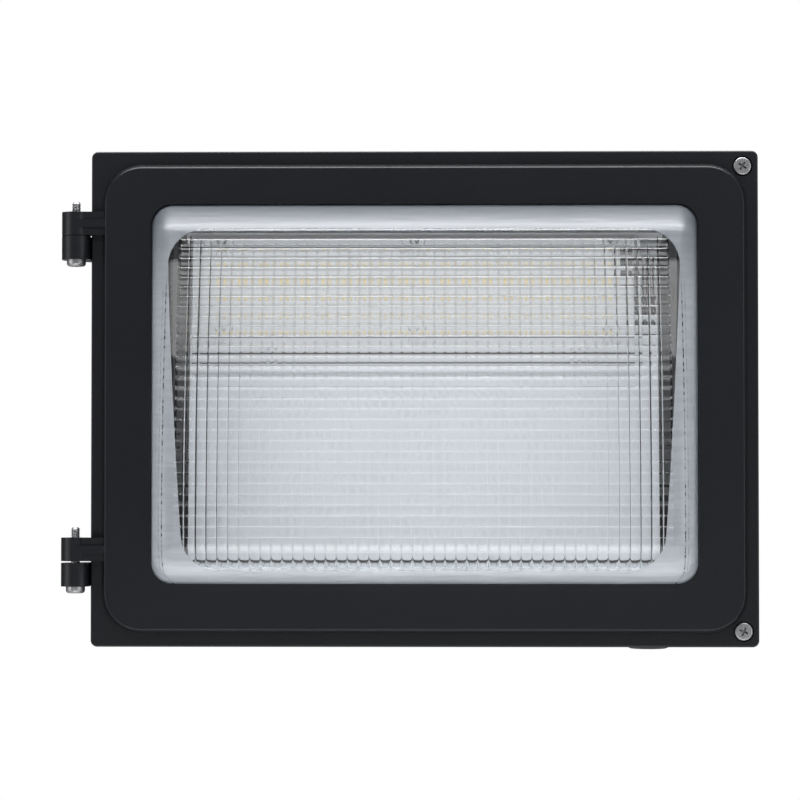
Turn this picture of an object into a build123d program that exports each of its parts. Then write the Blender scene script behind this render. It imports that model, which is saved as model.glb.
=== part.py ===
"""Wall pack light: die-cast back box, side-hinged door and prismatic glass refractor.

Millimetres. +X is right, +Z is up, and +Y points into the wall, so the light faces -Y.
The origin is the middle of the rear cable entry, in the plane of the wall.
"Forward" below is the distance in front of the wall, which is -Y.
"""

from build123d import *
import os
from math import asin, atan2, cos, degrees, radians, sin, tan

os.makedirs("parts", exist_ok=True)

# ---------------------------------------------------------------- driving sizes
body_width = 300.0
body_height = 223.0
housing_depth = 98.0

# back box casting
rim_corner_radius = 3.0
rim_thickness = 5.0
rim_overhang = 5.0  # the rim stands out past the box, all round
box_corner_radius = 24.0
box_wall = 3.5
box_draft = 2.0  # degrees

# door casting
door_gap = 0.5  # left open by the squeezed door seal
flange_thickness = 6.0
band_inset_x = 5.0  # flange showing beside the raised band
band_inset_z = 6.0
band_rise = 5.0
band_slope_width = 1.8
band_corner_radius = 18.0
band_wall = 3.5
recess_inset = 11.0
recess_corner_radius = 18.0
edge_round = 0.8

# window in the door: what the door keeps at each side
window_side = 27.5
window_top = 24.5
window_bottom = 28.5

# refractor lens
lens_clearance = 0.5
lens_wall = 4.0
lens_flange_lap = 6.5
lens_flange_thickness = 3.0
lens_projection = 52.0  # past the band's front face
lens_draft = 5.5  # degrees, on the side and bottom walls
lens_front_radius = 300.0  # long curve of the front face, seen from the side
lens_top_height = 11.5  # of the smooth slope under the window's top edge
lens_bottom_radius = 17.0
lens_edge_round = 9.0
lens_crease_round = 11.0  # where the slope meets the top wall and the front face
flute_pitch = 4.7
flute_depth = 0.6
lens_gasket_thickness = 0.8

# door seal in its groove
seal_width = 3.6
seal_groove_depth = 3.0
seal_edge_distance = 5.5  # from the door's edge to the middle of the seal
seal_corner_radius = 26.0
seal_side_clearance = 0.2

# lens clips
clip_size = 12.0
clip_thickness = 1.0
clip_boss_radius = 3.0
clip_boss_offset = 3.6  # from the lens flange's edge to the middle of the boss
clip_spread_x = 75.0
clip_spread_z = 50.0

# hinges
hinge_offset = 7.0  # from the body's left edge to the hinge axis
knuckle_radius = 6.5
lug_height = 10.5
hinge_spread = 73.45  # from the middle of the body to each hinge's parting
upper_lug_gap = 0.3  # the door rests here
lower_lug_gap = 0.9
hinge_rib_width = 3.6
hinge_rib_rise = 0.8
hinge_screw_radius = 2.0
hinge_running_clearance = 0.08
hinge_head_radius = 4.3
hinge_head_height = 3.1
hinge_screw_stickout = 4.6

# captive door screws
captive_inset = 7.0  # from the right, top and bottom edges
captive_head_radius = 4.0
captive_head_height = 2.6
captive_pocket_radius = 4.6
captive_pocket_depth = 2.8
captive_neck_radius = 1.5
captive_thread_radius = 2.0
captive_thread_length = 7.0
captive_thread_clearance = 0.55  # the door's swing carries the tip sideways
captive_hole_radius = 2.3
captive_mouth_radius = 3.2
captive_mouth_depth = 7.5
captive_boss_radius = 5.5
captive_boss_depth = 18.0
captive_seal_radius = 3.6
captive_seal_thickness = 0.8
retainer_radius = 4.2
retainer_thickness = 1.0
retainer_pocket_depth = 1.2

# threaded entries
entry_bore_radius = 9.3
rear_entry_length = 12.0
rear_entry_boss_radius = 14.0
hub_x = 104.0
hub_forward = 46.0
hub_radius = 13.0
hub_outer_z = 110.5  # below the middle
hub_bore_length = 14.0
plug_head_radius = 10.8
plug_head_height = 3.4
plug_thread_length = 9.0
plug_clearance = 0.1
plug_seal_thickness = 1.2
plug_socket_radius = 4.6
plug_socket_depth = 4.0

# wall fixings
wall_screw_spacing_x = 254.0
wall_screw_spacing_z = 165.1
wall_screw_hole_radius = 2.75
box_screw_spacing = 88.9
box_screw_hole_radius = 2.4

# reflector tray, a bridge of white sheet
tray_width = 218.0
tray_top_inset = 20.5  # from the box's outside, at the rim
tray_lip_inset = 28.5
tray_lip_height = 28.0
tray_lip_reach = 14.0
tray_forward = 78.0  # front face
tray_sheet = 1.2
tray_foot = 13.0
tray_boss_height = 9.5
tray_boss_radius = 4.5
tray_boss_spread_z = 35.0
tray_boss_middle_z = 18.0

# tilted LED plate on the tray
plate_sheet = 2.0
plate_left = -106.0
plate_right = 96.5
plate_lip_drop = 71.0  # this and the next three are measured down from the tray's top
plate_crease_drop = 62.7
plate_top_drop = 11.0
plate_heel_drop = 7.5
plate_lift = 13.5  # of the top edge, past the lip's front
plate_bend_radius = 2.2
plate_screw_x = 70.0
plate_screw_inset = 3.2
board_width = 196.0
board_height = 46.0
board_thickness = 1.6
board_shift = -4.0
pad_thickness = 0.4
led_columns = 20
led_rows = 4
led_pitch_x = 9.2
led_pitch_z = 10.5
led_size_x = 3.5
led_size_z = 2.8
led_height = 0.7
board_screw_inset = 2.8
board_screw_columns = (-88.0, 0.0, 88.0)

# connector on the board
connector_width = 6.0
connector_length = 9.0
connector_height = 4.4
connector_middle = 14.5  # up the board from its middle
connector_spacing = 4.0

# driver
driver_length = 130.0
driver_width = 52.0
driver_height = 30.0
driver_z = -48.0
driver_pad_height = 4.0
driver_ear = 9.0
driver_ear_thickness = 1.5

# terminal block and leads
terminal_pole = 11.0
terminal_poles = 3
terminal_x = -85.0
terminal_z = 31.0
terminal_height = 19.0
terminal_depth = 16.0
terminal_pad_height = 2.0
terminal_well_radius = 2.3
terminal_well_depth = 5.0
lead_radius = 1.1
lead_bend = 5.0
lead_bend_tight = 2.4
lead_spacing = 4.0
lead_x = 101.0
lead_hole_clearance = 0.15
lead_hole_depth = 5.0
lead_back_forward = 50.0  # where the LED leads run down behind the tray
lead_end_forward = 25.0  # at the driver's ends
lead_low_forward = 12.0  # at the terminal block
grommet_hole_radius = 5.0
grommet_bore_radius = 3.6
grommet_flange_radius = 6.0
grommet_flange_thickness = 1.2
grommet_drop = 44.0  # down from the tray's top
ground_x = -58.0
ground_z = 8.0
lug_wall = 0.8
lug_barrel = 5.0

# small screws
small_screw_radius = 2.0  # M4
small_head_radius = 3.9
small_head_height = 2.4
clip_screw_radius = 1.5  # M3
clip_head_radius = 2.75
clip_head_height = 1.9
screw_clearance = 0.06
screw_end_gap = 0.5  # between a screw's tip and the bottom of its hole

# ---------------------------------------------------------------- worked-out places
half_width = body_width / 2
half_height = body_height / 2
door_back = housing_depth + door_gap
flange_front = door_back + flange_thickness
band_front = flange_front + band_rise
recess_floor = band_front - band_wall

window_width = body_width - 2 * window_side
window_radius = lens_edge_round + lens_clearance
window_height = body_height - window_top - window_bottom
window_z = (window_bottom - window_top) / 2
window_low = window_z - window_height / 2
window_high = window_z + window_height / 2

lens_flange_front = recess_floor - lens_gasket_thickness
lens_flange_back = lens_flange_front - lens_flange_thickness
lens_front = band_front + lens_projection
lens_flange_width = window_width + 2 * lens_flange_lap
lens_flange_height = window_height + 2 * lens_flange_lap

hinge_x = -(half_width + hinge_offset)
hinge_forward = band_front - knuckle_radius
captive_x = half_width - captive_inset
captive_z = half_height - captive_inset

box_width = body_width - 2 * rim_overhang
box_height = body_height - 2 * rim_overhang

tray_top = box_height / 2 - tray_top_inset
tray_lip_bottom = -box_height / 2 + tray_lip_inset
tray_bend_z = tray_lip_bottom + tray_lip_height
plate_lip_bottom = tray_top - plate_lip_drop
plate_crease_z = tray_top - plate_crease_drop
plate_top_z = tray_top - plate_top_drop
plate_heel_z = tray_top - plate_heel_drop
grommet_z = tray_top - grommet_drop


def facing_front(forward):
    """A plane at this distance in front of the wall, seen from the front."""
    return Plane.XZ.offset(forward)


def facing_wall(forward):
    """The same plane facing the wall, for what is drawn towards it."""
    return Plane((0, -forward, 0), x_dir=(-1, 0, 0), z_dir=(0, 1, 0))


def save(part, name):
    """Label a finished piece and write it under its node name."""
    part.label = name
    export_step(part, f"parts/{name}.step")


# ---------------------------------------------------------------- back housing
hub_wall_z = box_height / 2 - (housing_depth - hub_forward) * tan(radians(box_draft))
tray_floor = box_wall + tray_boss_height  # where the tray's feet sit
tray_foot_x = tray_width / 2 + tray_foot / 2
tray_boss_places = [
    (side * tray_foot_x, tray_boss_middle_z + end * tray_boss_spread_z)
    for side in (-1, 1)
    for end in (-1, 1)
]
driver_floor = box_wall + driver_pad_height
driver_screw_x = driver_length / 2 + driver_ear / 2
pole_xs = [
    terminal_x + (index - (terminal_poles - 1) / 2) * terminal_pole
    for index in range(terminal_poles)
]
fixing_xs = [(left + right) / 2 for left, right in zip(pole_xs, pole_xs[1:])]
hinge_levels = (  # parting level, gap between the lugs
    (hinge_spread, upper_lug_gap),
    (-hinge_spread, lower_lug_gap),
)

with BuildPart() as back_housing:
    with BuildSketch(facing_wall(housing_depth)):
        RectangleRounded(box_width, box_height, box_corner_radius)
    extrude(amount=housing_depth, taper=box_draft)
    back_edges = back_housing.faces().sort_by(Axis.Y)[-1].edges()
    fillet(back_edges, edge_round)
    with BuildSketch(facing_wall(housing_depth)):
        RectangleRounded(body_width, body_height, rim_corner_radius)
    extrude(amount=rim_thickness)
    # bosses of the captive screws, tied to the box by a web under the rim
    with BuildSketch(facing_wall(housing_depth)):
        with Locations((-captive_x, captive_z), (-captive_x, -captive_z)):
            Circle(captive_boss_radius)
    extrude(amount=captive_boss_depth)
    for side in (-1, 1):
        with BuildSketch(facing_wall(housing_depth)):
            with Locations(Location((-captive_x + 6, side * (captive_z - 6)), -side * 45)):
                Rectangle(14, 3)
        extrude(amount=captive_boss_depth)
    # threaded hub under the bottom wall
    with BuildSketch(Plane.XY.offset(-hub_outer_z)):
        with Locations((hub_x, -hub_forward)):
            Circle(hub_radius)
    extrude(amount=hub_outer_z - hub_wall_z + 1)
    # the hollow
    with BuildSketch(facing_wall(housing_depth)):
        RectangleRounded(
            box_width - 2 * box_wall, box_height - 2 * box_wall, box_corner_radius - box_wall
        )
    extrude(amount=housing_depth - box_wall, taper=box_draft, mode=Mode.SUBTRACT)
    # bosses on the back wall
    with BuildSketch(facing_front(0)):
        Circle(rear_entry_boss_radius)
    extrude(amount=rear_entry_length)
    with BuildSketch(facing_front(box_wall / 2)):
        with Locations(*tray_boss_places):
            Circle(tray_boss_radius)
    extrude(amount=tray_floor - box_wall / 2)
    with BuildSketch(facing_front(box_wall / 2)):
        with Locations((driver_screw_x, driver_z), (-driver_screw_x, driver_z)):
            RectangleRounded(driver_ear, driver_width - 8, 2)
    extrude(amount=driver_floor - box_wall / 2)
    with BuildSketch(facing_front(box_wall / 2)):
        with Locations((terminal_x, terminal_z)):
            RectangleRounded(terminal_pole * terminal_poles + 4, terminal_height - 4, 2)
    extrude(amount=box_wall / 2 + terminal_pad_height)
    with BuildSketch(facing_front(box_wall / 2)):
        with Locations((ground_x, ground_z)):
            Circle(tray_boss_radius)
    extrude(amount=box_wall / 2 + driver_pad_height)
    # inner end of the bottom hub
    with BuildSketch(Plane.XY.offset(-hub_outer_z)):
        with Locations((hub_x, -hub_forward)):
            Circle(hub_radius)
    extrude(amount=hub_bore_length)
    # hinge lugs: a knuckle and a web that runs back along the box, clear of the door's swing
    web_back = housing_depth - 4 * rim_thickness
    for parting, gap in hinge_levels:
        with BuildSketch(Plane.XY.offset(parting - gap / 2 - lug_height)):
            with Locations((hinge_x, -hinge_forward)):
                Circle(knuckle_radius)
            with BuildLine():
                Polyline(
                    (hinge_x, -hinge_forward),
                    (-half_width - 0.6, -housing_depth + 0.1),
                    (-half_width + rim_overhang + 1, -housing_depth + 0.1),
                    (-half_width + rim_overhang + 1, -web_back),
                    (hinge_x - knuckle_radius, -hinge_forward + knuckle_radius),
                    (hinge_x - knuckle_radius, -hinge_forward),
                    close=True,
                )
            make_face()
        extrude(amount=lug_height)
    # holes
    with BuildSketch(Plane.XY.offset(-hinge_spread - lower_lug_gap - lug_height - 1)):
        with Locations((hinge_x, -hinge_forward)):
            Circle(hinge_screw_radius + hinge_running_clearance)
    extrude(amount=2 * hinge_spread + 4 * lug_height, mode=Mode.SUBTRACT)
    with Locations(facing_front(housing_depth)):
        with Locations((captive_x, captive_z), (captive_x, -captive_z)):
            CounterBoreHole(
                captive_thread_radius + captive_thread_clearance,
                captive_mouth_radius,
                captive_mouth_depth,
                captive_boss_depth,
            )
    with BuildSketch(facing_front(0)):
        Circle(entry_bore_radius)
        with GridLocations(wall_screw_spacing_x, wall_screw_spacing_z, 2, 2):
            Circle(wall_screw_hole_radius)
        with Locations((box_screw_spacing / 2, 0), (-box_screw_spacing / 2, 0)):
            Circle(box_screw_hole_radius)
    extrude(amount=rear_entry_length + 1, mode=Mode.SUBTRACT)
    with BuildSketch(Plane.XY.offset(-hub_outer_z)):
        with Locations((hub_x, -hub_forward)):
            Circle(entry_bore_radius)
    extrude(amount=hub_bore_length, mode=Mode.SUBTRACT)
    small_hole = small_screw_radius + screw_clearance
    with BuildSketch(facing_front(box_wall)):
        with Locations(*tray_boss_places, (ground_x, ground_z)):
            Circle(small_hole)
        with Locations((driver_screw_x, driver_z), (-driver_screw_x, driver_z)):
            Circle(small_hole)
        with Locations(*[(x, terminal_z) for x in fixing_xs]):
            Circle(clip_screw_radius + screw_clearance)
    extrude(amount=tray_boss_height, mode=Mode.SUBTRACT)

save(back_housing.part, "back_housing")

# ---------------------------------------------------------------- door frame
band_taper = degrees(atan2(band_slope_width, band_rise))
seal_ring_width = body_width - 2 * seal_edge_distance
seal_ring_height = body_height - 2 * seal_edge_distance
clip_x = lens_flange_width / 2 + clip_boss_offset
clip_z_high = window_z + lens_flange_height / 2 + clip_boss_offset
clip_z_low = window_z - lens_flange_height / 2 - clip_boss_offset
clip_places = (  # x, z and the direction from the boss towards the lens
    [(side * clip_x, window_z + end * clip_spread_z, (-side, 0)) for side in (-1, 1) for end in (-1, 1)]
    + [(side * clip_spread_x, clip_z_high, (0, -1)) for side in (-1, 1)]
    + [(side * clip_spread_x, clip_z_low, (0, 1)) for side in (-1, 1)]
)
clip_boss_points = [(x, z) for x, z, _ in clip_places]

with BuildPart() as door_frame:
    with BuildSketch(facing_front(door_back)):
        RectangleRounded(body_width, body_height, rim_corner_radius)
    extrude(amount=flange_thickness)
    fillet(door_frame.faces().sort_by(Axis.Y)[0].edges(), edge_round)
    with BuildSketch(facing_front(flange_front)):
        RectangleRounded(
            body_width - 2 * band_inset_x, body_height - 2 * band_inset_z, band_corner_radius
        )
    extrude(amount=band_rise, taper=band_taper)
    fillet(door_frame.faces().sort_by(Axis.Y)[0].edges(), edge_round)
    # hinge arms: knuckle, arm over the flange to the band's side, and a rib along the arm
    arm_end = -half_width + band_inset_x + band_slope_width + 1
    for parting, gap in hinge_levels:
        with BuildSketch(Plane.XY.offset(parting + gap / 2)):
            with Locations((hinge_x, -hinge_forward)):
                Circle(knuckle_radius)
            with BuildLine():
                Polyline(
                    (hinge_x, -hinge_forward + 1),
                    (-half_width + 1, -flange_front + 3),
                    (arm_end, -flange_front + 3),
                    (arm_end, -band_front + 2 * hinge_rib_rise),
                    (hinge_x, -hinge_forward - knuckle_radius + hinge_rib_rise),
                    close=True,
                )
            make_face()
        extrude(amount=lug_height)
        with BuildSketch(Plane.XY.offset(parting + gap / 2 + (lug_height - hinge_rib_width) / 2)):
            with BuildLine():
                Polyline(
                    (hinge_x, -hinge_forward),
                    (arm_end, -hinge_forward),
                    (arm_end, -band_front + hinge_rib_rise / 2),
                    (hinge_x, -band_front),
                    close=True,
                )
            make_face()
        extrude(amount=hinge_rib_width)
    # the hollow back, the window and the seal groove
    with BuildSketch(facing_front(door_back)):
        RectangleRounded(
            body_width - 2 * recess_inset, body_height - 2 * recess_inset, recess_corner_radius
        )
    extrude(amount=recess_floor - door_back, mode=Mode.SUBTRACT)
    with BuildSketch(facing_front(recess_floor)):
        with Locations((0, window_z)):
            RectangleRounded(window_width, window_height, window_radius)
    extrude(amount=band_wall, mode=Mode.SUBTRACT)
    window_edges = (
        door_frame.edges()
        .filter_by_position(Axis.Y, -band_front - 0.1, -band_front + 0.1)
        .filter_by_position(Axis.X, -window_width / 2 - 0.1, window_width / 2 + 0.1)
    )
    fillet(window_edges, edge_round)
    with BuildSketch(facing_front(door_back)):
        RectangleRounded(
            seal_ring_width + seal_width + 2 * seal_side_clearance,
            seal_ring_height + seal_width + 2 * seal_side_clearance,
            seal_corner_radius + seal_width / 2 + seal_side_clearance,
        )
        RectangleRounded(
            seal_ring_width - seal_width - 2 * seal_side_clearance,
            seal_ring_height - seal_width - 2 * seal_side_clearance,
            seal_corner_radius - seal_width / 2 - seal_side_clearance,
            mode=Mode.SUBTRACT,
        )
    extrude(amount=seal_groove_depth, mode=Mode.SUBTRACT)
    # clip bosses on the recess floor
    with BuildSketch(facing_front(lens_flange_back)):
        with Locations(*clip_boss_points):
            Circle(clip_boss_radius)
    extrude(amount=recess_floor - lens_flange_back + 0.5)
    with BuildSketch(facing_front(lens_flange_back)):
        with Locations(*clip_boss_points):
            Circle(clip_screw_radius + screw_clearance)
    extrude(amount=recess_floor - lens_flange_back + 1, mode=Mode.SUBTRACT)
    # captive screws: pocket in front, hole, and the retainer's pocket behind
    with Locations(facing_front(flange_front)):
        with Locations((captive_x, captive_z), (captive_x, -captive_z)):
            CounterBoreHole(
                captive_hole_radius, captive_pocket_radius, captive_pocket_depth, flange_thickness
            )
    with BuildSketch(facing_front(door_back)):
        with Locations((captive_x, captive_z), (captive_x, -captive_z)):
            Circle(retainer_radius + 0.2)
    extrude(amount=retainer_pocket_depth, mode=Mode.SUBTRACT)
    # hinge holes
    with BuildSketch(Plane.XY.offset(-hinge_spread)):
        with Locations((hinge_x, -hinge_forward)):
            Circle(hinge_screw_radius + hinge_running_clearance)
    extrude(amount=2 * hinge_spread + 2 * lug_height, mode=Mode.SUBTRACT)

save(door_frame.part, "door_frame")

# ---------------------------------------------------------------- lens
# Side view: a top wall through the window, a smooth slope, a long curve that is upright at the
# nose, a rounded bottom and a drafted bottom wall. The side walls have the same draft.
draft_rise = tan(radians(lens_draft))
lens_low = window_low + lens_clearance  # at the recess floor, where the draft starts
lens_high = window_high - lens_clearance
bottom_centre_forward = lens_front - lens_bottom_radius
nose_z = (
    lens_low
    + (bottom_centre_forward - recess_floor) * draft_rise
    + lens_bottom_radius / cos(radians(lens_draft))
)
front_top_z = window_high - lens_top_height
arc_centre_forward = lens_front - lens_front_radius
arc_span = degrees(asin((front_top_z - nose_z) / lens_front_radius))
arc_top_forward = arc_centre_forward + lens_front_radius * cos(radians(arc_span))
form_back = lens_flange_back - 2 * lens_wall  # so that the hollow also runs out at the back
half_at_front = window_width / 2 - lens_clearance - (lens_front + 1 - recess_floor) * draft_rise
flute_reach = half_at_front - lens_edge_round - 0.3  # the flutes keep off the rounded edges


def lens_form(inset):
    """The lens's outer form or, with an inset, its hollow. Both run on behind the flange."""
    half_at_back = window_width / 2 - lens_clearance + (recess_floor - form_back) * draft_rise
    wall_x = inset / cos(radians(lens_draft))
    bottom_end = 270 - lens_draft
    with BuildPart() as form:
        with BuildSketch(Plane.YZ.offset(-half_width)) as side_view:
            with BuildLine():
                Polyline(
                    (-form_back, lens_low - (recess_floor - form_back) * draft_rise),
                    (-form_back, lens_high),
                    (-band_front - 1, lens_high),
                    (-arc_top_forward, front_top_z),
                )
                CenterArc((-arc_centre_forward, nose_z), lens_front_radius, 180 - arc_span, arc_span)
                bottom = CenterArc(
                    (-bottom_centre_forward, nose_z), lens_bottom_radius, 180, bottom_end - 180
                )
                Line(bottom @ 1, (-form_back, lens_low - (recess_floor - form_back) * draft_rise))
            make_face()
            fillet(
                side_view.vertices()
                .filter_by_position(Axis.X, -arc_top_forward - 0.1, -band_front - 0.9)
                .filter_by_position(Axis.Y, front_top_z - 0.1, lens_high + 0.1),
                lens_crease_round,
            )
            if inset:
                offset(amount=-inset, kind=Kind.INTERSECTION)
        extrude(amount=body_width)
        with BuildSketch(Plane.XY.offset(-half_height)):
            with BuildLine():
                Polyline(
                    (half_at_back - wall_x, -form_back),
                    (half_at_front - wall_x, -lens_front - 1),
                    (wall_x - half_at_front, -lens_front - 1),
                    (wall_x - half_at_back, -form_back),
                    close=True,
                )
            make_face()
        extrude(amount=body_height, mode=Mode.INTERSECT)
        side_faces = form.faces().filter_by(GeomType.PLANE).sort_by(Axis.X)
        side_edges = side_faces[0].edges() + side_faces[-1].edges()
        back_y = -form_back - inset
        fillet([e for e in side_edges if e.center().Y < back_y - 0.1], lens_edge_round - inset)
    return form.part


def around_arc(forward, radius, angle):
    """A side-view point at a radius and an angle above the nose, about the curve's middle."""
    return (
        -forward - radius * cos(radians(angle)),
        nose_z + radius * sin(radians(angle)),
    )


skin = 0.05  # the flutes start this far under the smooth surface


def outer_flutes():
    """The flutes that run across the front face: what is cut off the smooth outer form."""
    step = degrees(flute_pitch / lens_front_radius)
    count = int((arc_span - 1.5) / step)
    zigzag = []
    for index in range(count):
        zigzag.append((lens_front_radius - skin, index * step))
        zigzag.append((lens_front_radius - skin - flute_depth, (index + 0.5) * step))
    zigzag.append((lens_front_radius - skin, count * step))
    zigzag.append((lens_front_radius + lens_wall, count * step))
    zigzag.append((lens_front_radius + lens_wall, 0))
    with BuildPart() as comb:
        with BuildSketch(Plane.YZ.offset(-flute_reach)):
            with BuildLine():
                points = [around_arc(arc_centre_forward, radius, angle) for radius, angle in zigzag]
                Polyline(*points, close=True)
            make_face()
        extrude(amount=2 * flute_reach)
    return comb.part


def inner_flutes(centre_forward, inner_radius, span):
    """The upright flutes inside: cut into the hollow's front along one of its two curves."""
    count = int(flute_reach / flute_pitch)
    zigzag = [(-count * flute_pitch, inner_radius - 1), (-count * flute_pitch, inner_radius + skin)]
    for index in range(-count, count):
        zigzag.append(((index + 0.5) * flute_pitch, inner_radius + skin + flute_depth))
        zigzag.append(((index + 1) * flute_pitch, inner_radius + skin))
    zigzag.append((count * flute_pitch, inner_radius - 1))
    centre = (0, -centre_forward, nose_z)
    turn = Axis(centre, (-1, 0, 0) if span > 0 else (1, 0, 0))
    with BuildPart() as comb:
        with BuildSketch(Plane(centre, x_dir=(1, 0, 0), z_dir=(0, 0, -1))):
            with BuildLine():
                Polyline(*zigzag, close=True)
            make_face()
        revolve(axis=turn, revolution_arc=abs(span))
    return comb.part


lens_outside = lens_form(0)
lens_hollow = lens_form(lens_wall)
across_flutes = outer_flutes()
upright_flutes = (
    inner_flutes(arc_centre_forward, lens_front_radius - lens_wall, arc_span - 1.5),
    inner_flutes(bottom_centre_forward, lens_bottom_radius - lens_wall, -(90 - lens_draft - 5)),
)

with BuildPart() as lens:
    add(lens_outside)
    add(across_flutes, mode=Mode.SUBTRACT)
    with BuildSketch(facing_front(form_back - 1)):
        Rectangle(body_width, body_height)
    extrude(amount=lens_flange_back - form_back + 1, mode=Mode.SUBTRACT)
    with BuildSketch(facing_front(lens_flange_back)):
        with Locations((0, window_z)):
            RectangleRounded(
                lens_flange_width, lens_flange_height, window_radius + lens_flange_lap
            )
    extrude(amount=lens_flange_thickness)
    add(lens_hollow, mode=Mode.SUBTRACT)
    for flutes in upright_flutes:
        add(flutes, mode=Mode.SUBTRACT)

save(lens.part, "lens")

with BuildPart() as lens_gasket:
    with BuildSketch(facing_front(lens_flange_front)):
        with Locations((0, window_z)):
            RectangleRounded(
                lens_flange_width, lens_flange_height, window_radius + lens_flange_lap
            )
            RectangleRounded(
                window_width + 2, window_height + 2, window_radius + 1, mode=Mode.SUBTRACT
            )
    extrude(amount=lens_gasket_thickness)

save(lens_gasket.part, "lens_gasket")

# ---------------------------------------------------------------- lens clips
clip_reach = clip_boss_radius + clip_boss_offset + clip_boss_radius  # from the boss over the flange
with BuildPart() as lens_clips:
    with BuildSketch(facing_front(lens_flange_back - clip_thickness)):
        for x, z, (towards_x, towards_z) in clip_places:
            middle = (clip_reach - 2 * clip_boss_radius) / 2
            with Locations((x + towards_x * middle, z + towards_z * middle)):
                if towards_x:
                    RectangleRounded(clip_reach, clip_size, 1.5)
                else:
                    RectangleRounded(clip_size, clip_reach, 1.5)
        with Locations(*clip_boss_points):
            Circle(clip_screw_radius + screw_clearance, mode=Mode.SUBTRACT)
    extrude(amount=clip_thickness)

save(lens_clips.part, "lens_clips")


def pan_screws(name, planes, shank_radius, shank_length, head_radius, head_height):
    """A group of pan-head screws. Each plane lies under a head and faces away from the shank."""
    with BuildPart() as screws:
        with BuildSketch(*planes):
            Circle(shank_radius)
        extrude(amount=-shank_length)
        with BuildSketch(*planes):
            Circle(head_radius)
        extrude(amount=head_height)
        crowns = screws.edges().filter_by(GeomType.CIRCLE)
        tops = [
            edge
            for edge in crowns
            if abs(edge.radius - head_radius) < 0.01
            and any(abs(plane.to_local_coords(edge.arc_center).Z - head_height) < 0.01
                    and plane.to_local_coords(edge.arc_center).length < head_height + 0.01
                    for plane in planes)
        ]
        fillet(tops, head_height / 2)
    save(screws.part, name)
    return screws.part


def screw_plane(x, z, forward):
    """A plane facing the front under a screw's head."""
    return Plane((x, -forward, z), x_dir=(1, 0, 0), z_dir=(0, -1, 0))


def backwards_plane(x, z, forward):
    """A plane facing the wall under a screw's head."""
    return Plane((x, -forward, z), x_dir=(-1, 0, 0), z_dir=(0, 1, 0))


clip_screw_planes = [
    backwards_plane(x, z, lens_flange_back - clip_thickness) for x, z in clip_boss_points
]
pan_screws(
    "lens_clip_screws",
    clip_screw_planes,
    clip_screw_radius,
    clip_thickness + recess_floor - lens_flange_back,
    clip_head_radius,
    clip_head_height,
)

# ---------------------------------------------------------------- door seal
with BuildPart() as door_gasket:
    with BuildSketch(facing_front(housing_depth)):
        RectangleRounded(
            seal_ring_width + seal_width, seal_ring_height + seal_width, seal_corner_radius + seal_width / 2
        )
        RectangleRounded(
            seal_ring_width - seal_width,
            seal_ring_height - seal_width,
            seal_corner_radius - seal_width / 2,
            mode=Mode.SUBTRACT,
        )
    extrude(amount=door_gap + seal_groove_depth)

save(door_gasket.part, "door_gasket")

# ---------------------------------------------------------------- hinge screws
hinge_planes = [
    Plane((hinge_x, -hinge_forward, parting - gap / 2 - lug_height), x_dir=(1, 0, 0), z_dir=(0, 0, -1))
    for parting, gap in hinge_levels
]
with BuildPart() as hinge_screws:
    for plane, (parting, gap) in zip(hinge_planes, hinge_levels):
        with BuildSketch(plane):
            Circle(hinge_screw_radius)
        extrude(amount=-(2 * lug_height + gap + hinge_screw_stickout))
        with BuildSketch(plane):
            Circle(hinge_head_radius)
        extrude(amount=hinge_head_height)
        head_rim = hinge_screws.edges().filter_by_position(
            Axis.Z, plane.origin.Z - hinge_head_height - 0.01, plane.origin.Z - hinge_head_height + 0.01
        )
        fillet(head_rim, hinge_head_height / 2)

save(hinge_screws.part, "hinge_screws")

# ---------------------------------------------------------------- captive screws
captive_seat = flange_front - captive_pocket_depth
captive_neck_top = captive_seat + captive_seal_thickness
captive_thread_top = housing_depth - captive_mouth_depth + 0.5
captive_levels = {"upper": captive_z, "lower": -captive_z}
for name, level in captive_levels.items():
    with BuildPart() as captive_screw:
        with BuildSketch(screw_plane(captive_x, level, captive_thread_top)):
            Circle(captive_neck_radius)
        extrude(amount=captive_neck_top - captive_thread_top)
        with BuildSketch(screw_plane(captive_x, level, captive_thread_top)):
            Circle(captive_thread_radius)
        extrude(amount=-captive_thread_length)
        with BuildSketch(screw_plane(captive_x, level, captive_neck_top)):
            Circle(captive_head_radius)
        extrude(amount=captive_head_height)
        fillet(captive_screw.faces().sort_by(Axis.Y)[0].edges(), captive_head_height / 3)
        chamfer(captive_screw.faces().sort_by(Axis.Y)[-1].edges(), 0.6)
    save(captive_screw.part, f"captive_screw_{name}")
    with BuildPart() as screw_seal:
        with BuildSketch(screw_plane(captive_x, level, captive_seat)):
            Circle(captive_seal_radius)
            Circle(captive_neck_radius + 0.2, mode=Mode.SUBTRACT)
        extrude(amount=captive_seal_thickness)
    save(screw_seal.part, f"screw_seal_{name}")

retainer_back = door_back + retainer_pocket_depth - retainer_thickness
with BuildPart() as screw_retainers:
    with BuildSketch(facing_front(retainer_back)):
        with Locations((captive_x, captive_z), (captive_x, -captive_z)):
            Circle(retainer_radius)
            Circle(captive_neck_radius + 0.2, mode=Mode.SUBTRACT)
    extrude(amount=retainer_thickness)

save(screw_retainers.part, "screw_retainers")

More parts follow.
